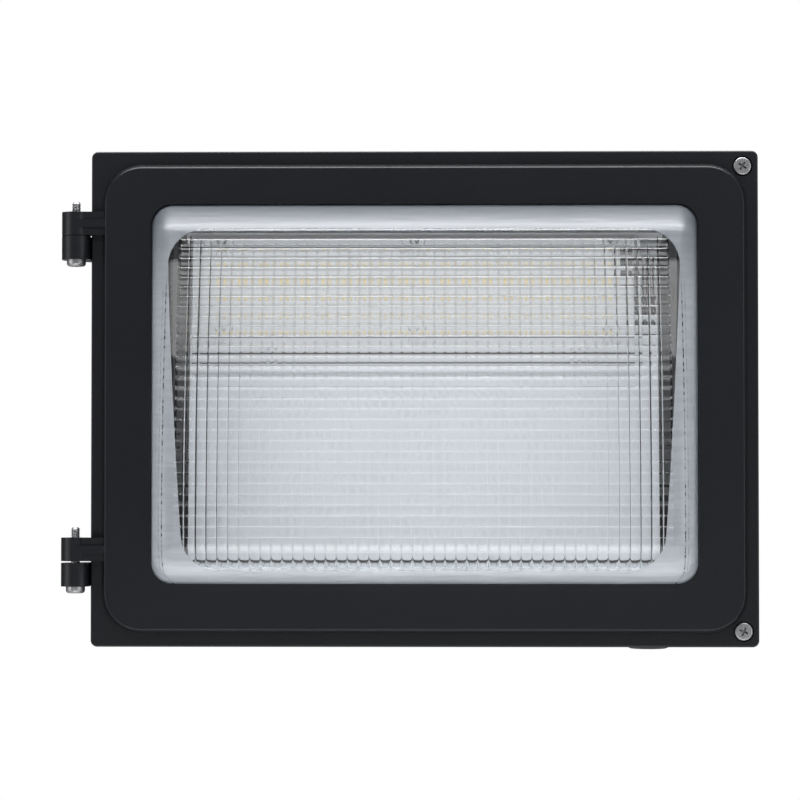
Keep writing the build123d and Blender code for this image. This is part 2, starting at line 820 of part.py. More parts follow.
# ---------------------------------------------------------------- reflector tray
plate_screw_places = [
    (x, z)
    for x in (-plate_screw_x, plate_screw_x)
    for z in (plate_lip_bottom + plate_screw_inset + 0.8, tray_top - plate_screw_inset)
]
with BuildPart() as reflector_tray:
    # front face with the lower lip bent forward
    with BuildSketch(Plane.YZ.offset(-tray_width / 2)):
        with BuildLine():
            FilletPolyline(
                (-tray_forward, tray_top),
                (-tray_forward, tray_bend_z),
                (-tray_forward - tray_lip_reach, tray_lip_bottom),
                radius=6,
            )
            offset(amount=tray_sheet, side=Side.LEFT)
        make_face()
    extrude(amount=tray_width)
    # side returns and feet
    for side in (-1, 1):
        with BuildSketch(Plane.XY.offset(tray_bend_z + 6)):
            with BuildLine():
                FilletPolyline(
                    (side * (tray_width / 2 - 6), -tray_forward),
                    (side * tray_width / 2, -tray_forward),
                    (side * tray_width / 2, -tray_floor - tray_sheet),
                    (side * (tray_width / 2 + tray_foot), -tray_floor - tray_sheet),
                    radius=2,
                )
                offset(amount=tray_sheet, side=Side.LEFT if side > 0 else Side.RIGHT)
            make_face()
        extrude(amount=tray_top - tray_bend_z - 6)
    with BuildSketch(facing_front(tray_floor)):
        with Locations(*tray_boss_places):
            Circle(small_screw_radius + screw_clearance)
    extrude(amount=2 * tray_sheet, mode=Mode.SUBTRACT)
    with BuildSketch(facing_front(tray_forward - 2 * tray_sheet)):
        with Locations((lead_x, grommet_z)):
            Circle(grommet_hole_radius)
        with Locations(*plate_screw_places):
            Circle(clip_screw_radius + screw_clearance)
    extrude(amount=3 * tray_sheet, mode=Mode.SUBTRACT)

save(reflector_tray.part, "reflector_tray")

pan_screws(
    "tray_screws",
    [screw_plane(x, z, tray_floor + tray_sheet) for x, z in tray_boss_places],
    small_screw_radius,
    tray_sheet + tray_boss_height - screw_end_gap,
    small_head_radius,
    small_head_height,
)

# ---------------------------------------------------------------- LED plate and board
plate_front = tray_forward + plate_sheet
plate_tilt = degrees(atan2(plate_lift, plate_top_z - plate_crease_z))
led_face = Plane(
    (0, -plate_front - plate_lift / 2, (plate_crease_z + plate_top_z) / 2),
    x_dir=(1, 0, 0),
    z_dir=(0, -cos(radians(plate_tilt)), -sin(radians(plate_tilt))),
)  # its y runs up the plate
board_back = led_face.offset(pad_thickness)
board_front = led_face.offset(pad_thickness + board_thickness)
board_screw_places = [
    (board_shift + x, end * (board_height / 2 - board_screw_inset))
    for x in board_screw_columns
    for end in (-1, 1)
]

with BuildPart() as led_plate:
    with BuildSketch(Plane.YZ.offset(plate_left)):
        with BuildLine():
            FilletPolyline(
                (-plate_front, plate_lip_bottom),
                (-plate_front, plate_crease_z),
                (-plate_front - plate_lift, plate_top_z),
                (-plate_front, plate_heel_z),
                (-plate_front, tray_top),
                radius=plate_bend_radius,
            )
            offset(amount=plate_sheet, side=Side.RIGHT)
        make_face()
    extrude(amount=plate_right - plate_left)
    with BuildSketch(facing_front(tray_forward)):
        with Locations(*plate_screw_places):
            Circle(clip_screw_radius + screw_clearance)
    extrude(amount=plate_sheet, mode=Mode.SUBTRACT)
    with BuildSketch(led_face):
        with Locations(*board_screw_places):
            Circle(clip_screw_radius + screw_clearance)
    extrude(amount=-plate_sheet, mode=Mode.SUBTRACT)

save(led_plate.part, "led_plate")

pan_screws(
    "led_plate_screws",
    [screw_plane(x, z, plate_front) for x, z in plate_screw_places],
    clip_screw_radius,
    plate_sheet + tray_sheet + screw_end_gap,
    clip_head_radius,
    clip_head_height,
)

with BuildPart() as thermal_pad:
    with BuildSketch(led_face):
        with Locations((board_shift, 0)):
            Rectangle(board_width - 2, board_height - 2)
        with Locations(*board_screw_places):
            Circle(clip_screw_radius + 2 * screw_clearance, mode=Mode.SUBTRACT)
    extrude(amount=pad_thickness)

save(thermal_pad.part, "thermal_pad")

with BuildPart() as led_board:
    with BuildSketch(board_back):
        with Locations((board_shift, 0)):
            RectangleRounded(board_width, board_height, 2)
        with Locations(*board_screw_places):
            Circle(clip_screw_radius + screw_clearance, mode=Mode.SUBTRACT)
    extrude(amount=board_thickness)

save(led_board.part, "led_board")

with BuildPart() as led_chips:
    with BuildSketch(board_front):
        with Locations((board_shift, 0)):
            with GridLocations(led_pitch_x, led_pitch_z, led_columns, led_rows):
                Rectangle(led_size_x, led_size_z)
    extrude(amount=led_height)

save(led_chips.part, "led_chips")

board_screw_planes = [
    Plane(board_front.from_local_coords((x, y, 0)), x_dir=(1, 0, 0), z_dir=board_front.z_dir)
    for x, y in board_screw_places
]
pan_screws(
    "board_screws",
    board_screw_planes,
    clip_screw_radius,
    board_thickness + pad_thickness + plate_sheet,
    clip_head_radius,
    clip_head_height,
)

# connector at the board's right end: a housing with two sockets facing right
board_right = board_shift + board_width / 2
with BuildPart() as led_connector:
    with BuildSketch(board_front):
        with Locations((board_right - connector_width / 2, connector_middle)):
            Rectangle(connector_width, connector_length)
    extrude(amount=connector_height)
    socket_face = Plane(
        board_front.from_local_coords((board_right, connector_middle, connector_height / 2)),
        x_dir=board_front.y_dir,
        z_dir=(1, 0, 0),
    )
    with BuildSketch(socket_face):
        with Locations((-connector_spacing / 2, 0), (connector_spacing / 2, 0)):
            Circle(lead_radius + lead_hole_clearance)
    extrude(amount=-connector_width / 2, mode=Mode.SUBTRACT)

save(led_connector.part, "led_connector")


def lead_run(name, points, bend=lead_bend):
    """A lead through these points, with rounded bends."""
    with BuildPart() as run:
        with BuildLine() as path:
            FilletPolyline(*points, radius=bend)
        with BuildSketch(Plane(path.line @ 0, z_dir=path.line % 0)):
            Circle(lead_radius)
        sweep()
    save(run.part, name)


def world(forward_points):
    """Points given as x, distance in front of the wall, z."""
    return [(x, -forward, z) for x, forward, z in forward_points]


# LED leads: out of the connector, down beside the plate, back through the grommet and down
# behind the tray to the driver's right end
for name, end in (("led_lead_positive", 1), ("led_lead_negative", -1)):
    run_x = lead_x + end * lead_spacing / 2
    level = connector_middle + end * connector_spacing / 2
    start = socket_face.from_local_coords((end * connector_spacing / 2, 0, -connector_width / 2))
    turn = board_front.from_local_coords((run_x, level, connector_height / 2))
    drop_forward = -turn.Y - (turn.Z - grommet_z) * tan(radians(plate_tilt))
    driver_level = driver_z + end * lead_spacing
    lead_run(
        name,
        [tuple(start), tuple(turn)]
        + world(
            [
                (run_x, drop_forward, grommet_z),
                (run_x, lead_back_forward, grommet_z),
                (run_x, lead_back_forward, driver_level),
                (run_x, lead_end_forward, driver_level),
                (driver_length / 2 - lead_hole_depth, lead_end_forward, driver_level),
            ]
        ),
        bend=lead_bend_tight,
    )

with BuildPart() as lead_grommet:
    with BuildSketch(facing_front(tray_forward - tray_sheet - grommet_flange_thickness)):
        with Locations((lead_x, grommet_z)):
            Circle(grommet_flange_radius)
    extrude(amount=grommet_flange_thickness)
    with BuildSketch(facing_front(tray_forward - tray_sheet)):
        with Locations((lead_x, grommet_z)):
            Circle(grommet_hole_radius - screw_clearance)
    extrude(amount=tray_sheet)
    with BuildSketch(facing_front(tray_forward)):
        with Locations((lead_x, grommet_z)):
            Circle(grommet_flange_radius)
    extrude(amount=grommet_flange_thickness)
    with BuildSketch(facing_front(tray_forward + grommet_flange_thickness)):
        with Locations((lead_x, grommet_z)):
            Circle(grommet_bore_radius)
    extrude(amount=-2 * grommet_flange_thickness - tray_sheet, mode=Mode.SUBTRACT)

save(lead_grommet.part, "lead_grommet")

# ---------------------------------------------------------------- driver
driver_levels = (driver_z + lead_spacing, driver_z - lead_spacing)
with BuildPart() as led_driver:
    with BuildSketch(facing_front(driver_floor)):
        with Locations((0, driver_z)):
            RectangleRounded(driver_length, driver_width, 3)
    extrude(amount=driver_height)
    fillet(led_driver.faces().sort_by(Axis.Y)[0].edges(), 1.5)
    with BuildSketch(facing_front(driver_floor)):
        with Locations((0, driver_z)):
            RectangleRounded(driver_length + 2 * driver_ear, driver_width - 8, 2)
        with Locations((driver_screw_x, driver_z), (-driver_screw_x, driver_z)):
            Circle(small_screw_radius + screw_clearance, mode=Mode.SUBTRACT)
    extrude(amount=driver_ear_thickness)
    for side in (-1, 1):
        with BuildSketch(Plane.YZ.offset(side * driver_length / 2)):
            with Locations(*[(-lead_end_forward, level) for level in driver_levels]):
                Circle(lead_radius + lead_hole_clearance)
        extrude(amount=-side * lead_hole_depth, mode=Mode.SUBTRACT)

save(led_driver.part, "led_driver")

pan_screws(
    "driver_screws",
    [
        screw_plane(side * driver_screw_x, driver_z, driver_floor + driver_ear_thickness)
        for side in (-1, 1)
    ],
    small_screw_radius,
    driver_ear_thickness + driver_pad_height - screw_end_gap,
    small_head_radius,
    small_head_height,
)

# ---------------------------------------------------------------- supply terminals
terminal_floor = box_wall + terminal_pad_height
terminal_low = terminal_z - terminal_height / 2
terminal_front = terminal_floor + terminal_depth

with BuildPart() as terminal_block:
    with BuildSketch(facing_front(terminal_floor)):
        with Locations((terminal_x, terminal_z)):
            Rectangle(terminal_pole * terminal_poles + 4, terminal_height)
    extrude(amount=terminal_depth)
    # wells over the clamping screws, and the fixing holes on a lower step
    with BuildSketch(facing_front(terminal_front)):
        with Locations(*[(x, terminal_z) for x in pole_xs]):
            Circle(terminal_well_radius)
    extrude(amount=-terminal_well_depth, mode=Mode.SUBTRACT)
    with BuildSketch(facing_front(terminal_front)):
        with Locations(*[(x, terminal_z) for x in fixing_xs]):
            Circle(clip_head_radius + 0.2)
    extrude(amount=-terminal_depth / 2, mode=Mode.SUBTRACT)
    with BuildSketch(facing_front(terminal_floor)):
        with Locations(*[(x, terminal_z) for x in fixing_xs]):
            Circle(clip_screw_radius + screw_clearance)
    extrude(amount=terminal_depth, mode=Mode.SUBTRACT)
    # wire holes, from below and from above
    for level, inwards in ((terminal_low, 1), (terminal_low + terminal_height, -1)):
        with BuildSketch(Plane.XY.offset(level)):
            with Locations(*[(x, -lead_low_forward) for x in pole_xs]):
                Circle(lead_radius + lead_hole_clearance)
        extrude(amount=inwards * lead_hole_depth, mode=Mode.SUBTRACT)

save(terminal_block.part, "terminal_block")

with BuildPart() as terminal_screws:
    with BuildSketch(facing_front(terminal_front - terminal_well_depth)):
        with Locations(*[(x, terminal_z) for x in pole_xs]):
            Circle(terminal_well_radius - 0.1)
    extrude(amount=terminal_well_depth / 2)
    with BuildSketch(facing_front(terminal_front - terminal_well_depth / 2)):
        with Locations(*[(x, terminal_z) for x in pole_xs]):
            Rectangle(2 * terminal_well_radius, 0.6)
    extrude(amount=-0.6, mode=Mode.SUBTRACT)

save(terminal_screws.part, "terminal_screws")

pan_screws(
    "terminal_fixings",
    [screw_plane(x, terminal_z, terminal_front - terminal_depth / 2) for x in fixing_xs],
    clip_screw_radius,
    terminal_depth / 2 + terminal_pad_height - screw_end_gap,
    clip_head_radius,
    clip_head_height,
)

for name, x, level in (
    ("supply_lead_line", pole_xs[0], driver_z - lead_spacing),
    ("supply_lead_neutral", pole_xs[1], driver_z + lead_spacing),
):
    lead_run(
        name,
        world(
            [
                (-driver_length / 2 + lead_hole_depth, lead_end_forward, level),
                (x, lead_end_forward, level),
                (x, lead_low_forward, -2 * lead_bend),
                (x, lead_low_forward, terminal_low + lead_hole_depth),
            ]
        ),
    )

# ---------------------------------------------------------------- earth point
ground_floor = box_wall + driver_pad_height
lug_middle_forward = ground_floor + lead_radius + lug_wall
lug_end = ground_x - small_head_radius - 0.3 - lug_barrel
lug_tab_end = lug_end + lug_barrel / 2
with BuildPart() as ground_lug:
    with BuildSketch(facing_front(ground_floor)):
        with Locations((ground_x, ground_z)):
            Circle(tray_boss_radius)
        with Locations(((ground_x + lug_tab_end) / 2, ground_z)):
            Rectangle(ground_x - lug_tab_end, lead_radius + 2 * lug_wall)
        with Locations((ground_x, ground_z)):
            Circle(small_screw_radius + screw_clearance, mode=Mode.SUBTRACT)
    extrude(amount=lug_wall)
    with BuildSketch(Plane.YZ.offset(lug_end)):
        with Locations((-lug_middle_forward, ground_z)):
            Circle(lead_radius + lug_wall)
    extrude(amount=lug_barrel)
    with BuildSketch(Plane.YZ.offset(lug_end)):
        with Locations((-lug_middle_forward, ground_z)):
            Circle(lead_radius + screw_clearance)
    extrude(amount=lug_barrel - lug_wall, mode=Mode.SUBTRACT)

save(ground_lug.part, "ground_lug")

lead_run(
    "ground_lead",
    world(
        [
            (lug_end + lug_barrel - lug_wall, lug_middle_forward, ground_z),
            (pole_xs[2], lug_middle_forward, ground_z),
            (pole_xs[2], lead_low_forward, terminal_low - lead_bend),
            (pole_xs[2], lead_low_forward, terminal_low + lead_hole_depth),
        ]
    ),
    bend=lead_bend_tight,
)

pan_screws(
    "ground_screw",
    [screw_plane(ground_x, ground_z, ground_floor + lug_wall)],
    small_screw_radius,
    lug_wall + driver_pad_height - screw_end_gap,
    small_head_radius,
    small_head_height,
)

# ---------------------------------------------------------------- entry plug
with BuildPart() as entry_plug_seal:
    with BuildSketch(Plane.XY.offset(-hub_outer_z - plug_seal_thickness)):
        with Locations((hub_x, -hub_forward)):
            Circle(plug_head_radius)
            Circle(entry_bore_radius, mode=Mode.SUBTRACT)
    extrude(amount=plug_seal_thickness)

save(entry_plug_seal.part, "entry_plug_seal")

with BuildPart() as entry_plug:
    with BuildSketch(Plane.XY.offset(-hub_outer_z - plug_seal_thickness - plug_head_height)):
        with Locations((hub_x, -hub_forward)):
            Circle(plug_head_radius)
    extrude(amount=plug_head_height)
    fillet(entry_plug.faces().sort_by(Axis.Z)[0].edges(), plug_head_height - 0.2)
    with BuildSketch(Plane.XY.offset(-hub_outer_z - plug_seal_thickness)):
        with Locations((hub_x, -hub_forward)):
            Circle(entry_bore_radius - plug_clearance)
    extrude(amount=plug_seal_thickness + plug_thread_length)
    chamfer(entry_plug.faces().sort_by(Axis.Z)[-1].edges(), 0.6)
    with BuildSketch(Plane.XY.offset(-hub_outer_z - plug_seal_thickness - plug_head_height)):
        with Locations((hub_x, -hub_forward)):
            RegularPolygon(plug_socket_radius, 6)
    extrude(amount=plug_socket_depth, mode=Mode.SUBTRACT)

save(entry_plug.part, "entry_plug")
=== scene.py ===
# %% [markdown]
# # A wall pack light, dressed for its photograph
#
# The light hangs on a wall: a charcoal back box, a door hinged at the left, and a clear pressed
# lens over a white tray with a tilted LED board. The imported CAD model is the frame. It gives every
# piece its place, so this script adds finishes, and models the pieces whose looks need more
# shape than the CAD holds: the fluted lens and the screws that show.

# %% Load the frame
import math

import bmesh
import bpy
from mathutils import Matrix, Vector


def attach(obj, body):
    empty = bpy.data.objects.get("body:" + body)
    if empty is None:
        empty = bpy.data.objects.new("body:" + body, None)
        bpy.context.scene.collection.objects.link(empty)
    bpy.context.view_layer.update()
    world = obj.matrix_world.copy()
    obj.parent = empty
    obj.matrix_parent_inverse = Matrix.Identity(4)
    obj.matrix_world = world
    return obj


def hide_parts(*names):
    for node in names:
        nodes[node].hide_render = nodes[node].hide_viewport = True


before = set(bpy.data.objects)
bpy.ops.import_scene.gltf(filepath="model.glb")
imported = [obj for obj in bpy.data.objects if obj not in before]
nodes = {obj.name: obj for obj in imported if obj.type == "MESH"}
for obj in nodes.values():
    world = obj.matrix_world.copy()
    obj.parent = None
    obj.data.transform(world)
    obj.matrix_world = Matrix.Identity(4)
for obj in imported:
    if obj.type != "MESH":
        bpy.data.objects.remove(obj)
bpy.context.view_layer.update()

# %% [markdown]
# ## Camera
#
# The photograph was taken from far away with a long lens, a little below the middle of the light
# and aimed up at it. A long focal length keeps the body's edges nearly parallel, and the small
# tilt gives the slight taper towards the top. The place is measured from the light's front.

# %% Camera
MM = 0.001


def aim(thing, target):
    """Turns a camera or lamp so that it looks at a point."""
    away = Vector(target) - thing.location
    thing.rotation_euler = away.to_track_quat("-Z", "Y").to_euler()


camera_data = bpy.data.cameras.new("photo_camera")
camera_data.lens = 136.2
camera_data.sensor_width = 36.0
camera_data.clip_end = 20.0
camera = bpy.data.objects.new("photo_camera", camera_data)
bpy.context.scene.collection.objects.link(camera)
camera.location = (12.3 * MM, -1464 * MM, -38.8 * MM)
yaw, pitch = -0.01707, 0.02805
forward = Vector((math.sin(yaw) * math.cos(pitch), math.cos(yaw) * math.cos(pitch), math.sin(pitch)))
aim(camera, camera.location + forward)
bpy.context.scene.camera = camera
print("camera at", tuple(camera.location), "looks along", tuple(forward))

# %% [markdown]
# ## Shader maths
#
# A node tree is easier to read as a formula. The class below wraps one socket, so `a * b + 0.2`
# adds its own Math nodes. Wiring each node by hand would work too, but a formula of three terms
# would already fill a page.

# %% A socket with arithmetic


class Value:
    """A socket in a material, with arithmetic."""

    def __init__(self, maker, socket):
        self.maker = maker
        self.socket = socket

    def math(self, operation, *others):
        sockets = dict(enumerate((self, *others)))
        return self.maker.node("ShaderNodeMath", {"operation": operation}, sockets)

    def from_left(self, operation, other):
        """The reflected form: the other number comes first."""
        return self.maker.node("ShaderNodeMath", {"operation": operation}, {0: other, 1: self})

    def __add__(self, other):
        return self.math("ADD", other)

    def __radd__(self, other):
        return self.math("ADD", other)

    def __sub__(self, other):
        return self.math("SUBTRACT", other)

    def __rsub__(self, other):
        return self.from_left("SUBTRACT", other)

    def __mul__(self, other):
        return self.math("MULTIPLY", other)

    def __rmul__(self, other):
        return self.math("MULTIPLY", other)

    def __truediv__(self, other):
        return self.math("DIVIDE", other)

    def __rtruediv__(self, other):
        return self.from_left("DIVIDE", other)


print("arithmetic on sockets ready")

# %% [markdown]
# ## Building a finish
#
# A finish is what the painter, the plater or the glassworks leaves on a piece. Here it is a node
# tree. One method makes any node from its type, its settings and its sockets. The others are
# short names for what comes back on every piece: its own millimetres, noise, ramps and bump.

# %% A finish under construction


class Finish:
    """A material under construction."""

    def __init__(self, name):
        self.material = bpy.data.materials.new(name)
        self.material.use_nodes = True
        self.tree = self.material.node_tree
        self.tree.nodes.clear()
        self.output = self.tree.nodes.new("ShaderNodeOutputMaterial")

    def node(self, kind, settings=None, sockets=None, out=0):
        """Adds a node. Settings come first, because they can change the sockets."""
        made = self.tree.nodes.new(kind)
        for key, value in (settings or {}).items():
            if key == "stops":
                ramp = made.color_ramp
                while len(ramp.elements) < len(value):
                    ramp.elements.new(0.5)
                for element, (place, colour) in zip(ramp.elements, value):
                    element.position = place
                    element.color = colour
            else:
                setattr(made, key, value)
        for key, value in (sockets or {}).items():
            socket = made.inputs[key]
            if isinstance(value, Value):
                self.tree.links.new(value.socket, socket)
            else:
                socket.default_value = value
        return Value(self, made.outputs[out])

    def place(self):
        """Object coordinates in millimetres, so that a scale of 1 is one wave per millimetre."""
        where = self.node("ShaderNodeTexCoord", out=3)
        return self.node("ShaderNodeVectorMath", {"operation": "SCALE"}, {0: where, "Scale": 1 / MM})

    def along(self, axis):
        """One of the three coordinates in millimetres: 0 across, 1 into the wall, 2 up."""
        return self.node("ShaderNodeSeparateXYZ", {}, {0: self.place()}, out=axis)

    def noise(self, per_mm, detail=2.0, roughness=0.5, where=None):
        sockets = {"Vector": where or self.place(), "Scale": per_mm}
        sockets |= {"Detail": detail, "Roughness": roughness}
        return self.node("ShaderNodeTexNoise", {}, sockets)

    def blend(self, factor, low, high):
        """A colour between two colours."""
        sockets = {0: factor, 6: low, 7: high}
        return self.node("ShaderNodeMix", {"data_type": "RGBA"}, sockets, out=2)

    def ramp(self, value, *stops):
        """Maps a value through stops of (place, grey level)."""
        colours = [(place, (level, level, level, 1.0)) for place, level in stops]
        return self.node("ShaderNodeValToRGB", {"stops": colours}, {0: value})

    def bump(self, height, depth_mm):
        sockets = {"Height": height, "Distance": depth_mm * MM, "Strength": 1.0}
        return self.node("ShaderNodeBump", {}, sockets)

    def principled(self, **sockets):
        named = {key.replace("_", " "): value for key, value in sockets.items()}
        shader = self.node("ShaderNodeBsdfPrincipled", {}, named)
        self.show(shader)
        return shader

    def show(self, shader):
        self.tree.links.new(shader.socket, self.output.inputs["Surface"])


def grey(level, tint=(1.0, 1.0, 1.0)):
    return (*[level * part for part in tint], 1.0)


print("finish helper ready")

# %% [markdown]
# ## Floor, backdrop and lamps
#
# The photograph has a pure white ground with no shadow. The floor lies well below the light, and
# the backdrop stands so far behind it that a camera can also look from the wall's side. Rays from
# the camera, and rays through glass or off metal, see them as white, while other rays see plain
# surfaces, so the light on the object stays even. The floor mixes in some of its own shading for
# the camera, so that it keeps the object's soft shadow in the views from above.

# %% Floor and backdrop


def studio_white(name, shade, seen_share, mirror_share):
    """Seen by the camera it is nearly plain white; as a light source it is a diffuse surface."""
    finish = Finish(name)
    surface = finish.node("ShaderNodeBsdfDiffuse", {}, {"Color": grey(shade)})
    white = finish.node("ShaderNodeEmission", {}, {"Color": grey(1.0), "Strength": 1.0})
    seen = finish.node("ShaderNodeLightPath", out=0) * seen_share
    mirrored = finish.node("ShaderNodeLightPath", out=4) * mirror_share
    passed = finish.node("ShaderNodeLightPath", out=7) * 0.9
    factor = seen + mirrored + passed
    finish.show(finish.node("ShaderNodeMixShader", {}, {0: factor, 1: surface, 2: white}))
    return finish.material


def panel(name, size, place, turn, material):
    mesh = bpy.data.meshes.new(name)
    bm = bmesh.new()
    bmesh.ops.create_grid(bm, x_segments=1, y_segments=1, size=0.5)
    bmesh.ops.scale(bm, vec=(size[0], size[1], 1.0), verts=bm.verts)
    bmesh.ops.rotate(bm, cent=(0, 0, 0), matrix=Matrix.Rotation(turn, 3, "X"), verts=bm.verts)
    bmesh.ops.translate(bm, vec=place, verts=bm.verts)
    bm.to_mesh(mesh)
    bm.free()
    made = bpy.data.objects.new(name, mesh)
    made.data.materials.append(material)
    bpy.context.scene.collection.objects.link(made)
    return made


floor_white = studio_white("floor_white", 0.8, 0.95, 0.15)
backdrop_white = studio_white("backdrop_white", 0.8, 1.0, 0.7)
floor = panel("floor", (24.0, 24.0), (0.0, 0.0, -1.1), 0.0, floor_white)
backdrop = panel("backdrop", (24.0, 14.0), (0.0, 4.2, 5.9), math.radians(90), backdrop_white)
print("stage", floor.name, backdrop.name)

# %% [markdown]
# ## World
#
# Every side of the room that has no backdrop is the world. It gives a dim, slightly blue fill,
# as a white room does, and is plain white where the camera looks straight at it. One bright sky
# for all rays would be simpler, but it would grey out the black coat and flatten the glass.

# %% World
world = bpy.data.worlds.new("studio_world")
world.use_nodes = True
tree = world.node_tree
fill = tree.nodes["Background"]
fill.inputs["Color"].default_value = (0.93, 0.96, 1.0, 1.0)
fill.inputs["Strength"].default_value = 0.17
plain_white = tree.nodes.new("ShaderNodeBackground")
plain_white.inputs["Color"].default_value = grey(1.0)
ray = tree.nodes.new("ShaderNodeLightPath")
share = ray.outputs["Is Camera Ray"]
for kind, weight in (("Is Glossy Ray", 0.03), ("Is Transmission Ray", 0.25)):
    term = tree.nodes.new("ShaderNodeMath")
    term.operation = "MULTIPLY_ADD"
    term.inputs[1].default_value = weight
    tree.links.new(ray.outputs[kind], term.inputs[0])
    tree.links.new(share, term.inputs[2])
    share = term.outputs[0]
either = tree.nodes.new("ShaderNodeMixShader")
tree.links.new(share, either.inputs[0])
tree.links.new(fill.outputs[0], either.inputs[1])
tree.links.new(plain_white.outputs[0], either.inputs[2])
tree.links.new(either.outputs[0], tree.nodes["World Output"].inputs["Surface"])
bpy.context.scene.world = world
print("world", world.name)

# %% [markdown]
# ## Lamps
#
# Product photographs of dark castings use big soft boxes. The one overhead draws the pale line
# along the door's upper slope, the ones at the sides lift its flanks, and the low one keeps the
# lower edge from sinking into black. Rectangular area lamps do this without any visible source.

# %% Lamps


LIT_POINT = (0, -0.1, 0)


def softbox(name, place, width, height, power):
    data = bpy.data.lights.new(name, "AREA")
    data.shape = "RECTANGLE"
    data.size, data.size_y = width, height
    data.energy = power
    lamp = bpy.data.objects.new(name, data)
    bpy.context.scene.collection.objects.link(lamp)
    lamp.location = place
    aim(lamp, LIT_POINT)


softbox("softbox_over", (0.0, 0.05, 1.25), 1.6, 1.3, 52.0)
softbox("softbox_front", (0.0, -1.35, 1.15), 1.8, 0.6, 7.5)
softbox("softbox_low", (0.0, -1.25, -0.85), 1.6, 0.5, 7.0)
softbox("softbox_left", (-1.6, -0.8, 0.1), 0.8, 1.3, 8.0)
softbox("softbox_right", (1.5, -1.15, 0.0), 0.8, 1.3, 8.5)
bpy.context.scene.view_settings.view_transform = "Standard"

# %% [markdown]
# ## Powder coat of the castings
#
# The box, the door and the plug have a fine-textured powder coat: nearly black, a little blue,
# with a grain of about half a millimetre over a slower orange peel. A flat black would look like
# plastic, so the grain moves the roughness and the bump, and only slow clouds vary the colour.

# %% Powder coat
coat = Finish("charcoal_powder_coat")
grain = coat.noise(2.2, detail=3.0, roughness=0.6)
orange_peel = coat.noise(0.55, detail=1.0)
cloud = coat.noise(0.012)
COAT_DARK, COAT_LIGHT = (0.0030, 0.0036, 0.0058, 1), (0.0042, 0.0048, 0.0074, 1)
coat_colour = coat.blend(coat.ramp(cloud, (0.35, 0.0), (0.65, 1.0)), COAT_DARK, COAT_LIGHT)
coat.principled(
    Base_Color=coat_colour,
    Roughness=coat.ramp(grain, (0.3, 0.37), (0.7, 0.45)),
    IOR=1.45,
    Specular_IOR_Level=0.46,
    Normal=coat.bump(grain + 1.5 * orange_peel, 0.035),
)
print(coat.material.name)

# %% [markdown]
# ## Paint, plastic and rubber
#
# The tray, the plate and the board are white, each with its own gloss, and the pieces round them
# are rubber, nylon and moulded plastic. All share one recipe: a colour that drifts by a few
# hundredths, a roughness that drifts by a tenth, and a fine grain where the real one has it.

# %% Recipe for paint and plastic


def painted(name, colour, roughness, grain_mm=0.0, grain_depth=0.0):
    """Smooth paint or plastic with slow changes of shade and, if asked, a fine grain."""
    finish = Finish(name)
    drift = finish.ramp(finish.noise(0.02), (0.3, 0.0), (0.7, 1.0))
    darker = [c * 0.975 for c in colour]
    sockets = {
        "Base_Color": finish.blend(drift, (*darker, 1), (*colour, 1)),
        "Roughness": finish.ramp(finish.noise(0.15), (0.3, roughness * 0.9), (0.7, roughness * 1.1)),
    }
    if grain_depth:
        sockets["Normal"] = finish.bump(finish.noise(1.0 / grain_mm), grain_depth)
    finish.principled(**sockets)
    return finish.material


print("recipe for paint and plastic ready")

# %% [markdown]
# ## LED plate with two painted shade lines
#
# Under the board, two thin black lines are painted on the plate: painted shade where a slot would be,
# and a painted shadow at its fold. The prisms of the lens break them into dashes. They are level,
# so a comparison of height with each line's place draws them. Cutting them as geometry would change
# a piece that the CAD already holds.

# %% Plate finish
# Heights and half widths in millimetres of the painted slot shade and the painted fold shadow.
SLOT_SHADE_HEIGHT, SLOT_SHADE_HALF = 24.4, 0.8  # millimetres above the rear entry's axis
FOLD_SHADOW_HEIGHT, FOLD_SHADOW_HALF = 19.0, 0.4
plate_finish = Finish("plate_white_with_painted_shade")
up = plate_finish.along(2)
# Painted shade and shadow: the plate turns black where the two lines fall.
painted_shade_lines = up.math("COMPARE", SLOT_SHADE_HEIGHT, SLOT_SHADE_HALF) + up.math("COMPARE", FOLD_SHADOW_HEIGHT, FOLD_SHADOW_HALF)
plate_finish.principled(
    Base_Color=plate_finish.blend(painted_shade_lines, (0.54, 0.55, 0.57, 1), (0.006, 0.006, 0.007, 1)),
    Roughness=plate_finish.ramp(plate_finish.noise(0.15), (0.3, 0.41), (0.7, 0.5)),
)
print(plate_finish.material.name)

# %% [markdown]
# ## The painted and moulded pieces
#
# Each finish below is the recipe with a colour, a roughness and, where it shows, the size and the
# depth of its grain in millimetres. The phosphor is the yellow face of an LED that is off.

# %% Painted and moulded finishes
tray_white = painted("tray_gloss_white", (0.66, 0.675, 0.705), 0.28, 1.4, 0.012)
board_white = painted("board_white_mask", (0.50, 0.505, 0.52), 0.33)
screw_white = painted("screw_painted_white", (0.46, 0.465, 0.48), 0.4)
pad_grey = painted("pad_grey_silicone", (0.30, 0.31, 0.33), 0.7, 0.5, 0.02)
rubber = painted("seal_rubber_dark", (0.022, 0.022, 0.024), 0.62, 0.6, 0.02)
nylon = painted("nylon_natural", (0.70, 0.69, 0.64), 0.45)
driver_grey = painted("driver_case_grey", (0.55, 0.56, 0.58), 0.5, 0.7, 0.03)
terminal_black = painted("terminal_black_plastic", (0.02, 0.02, 0.022), 0.4, 0.6, 0.02)
lead_dark_red = painted("lead_dark_red_jacket", (0.045, 0.010, 0.012), 0.4)
lead_black = painted("lead_black_jacket", (0.015, 0.015, 0.016), 0.4)
lead_white = painted("lead_white_jacket", (0.72, 0.72, 0.70), 0.4)
lead_green = painted("lead_green_jacket", (0.02, 0.20, 0.05), 0.4)
phosphor = painted("led_phosphor_yellow", (0.62, 0.50, 0.24), 0.35)
print("painted finishes ready")

# %% [markdown]
# ## Bare metals
#
# The screws, the clips and the terminals are bare. Turned or rolled metal has fine marks along
# one direction, so the noise is stretched by a Mapping node before it moves colour, roughness
# and bump. A clean mirror would look brighter than the dull screws in the photograph.

# %% Metals


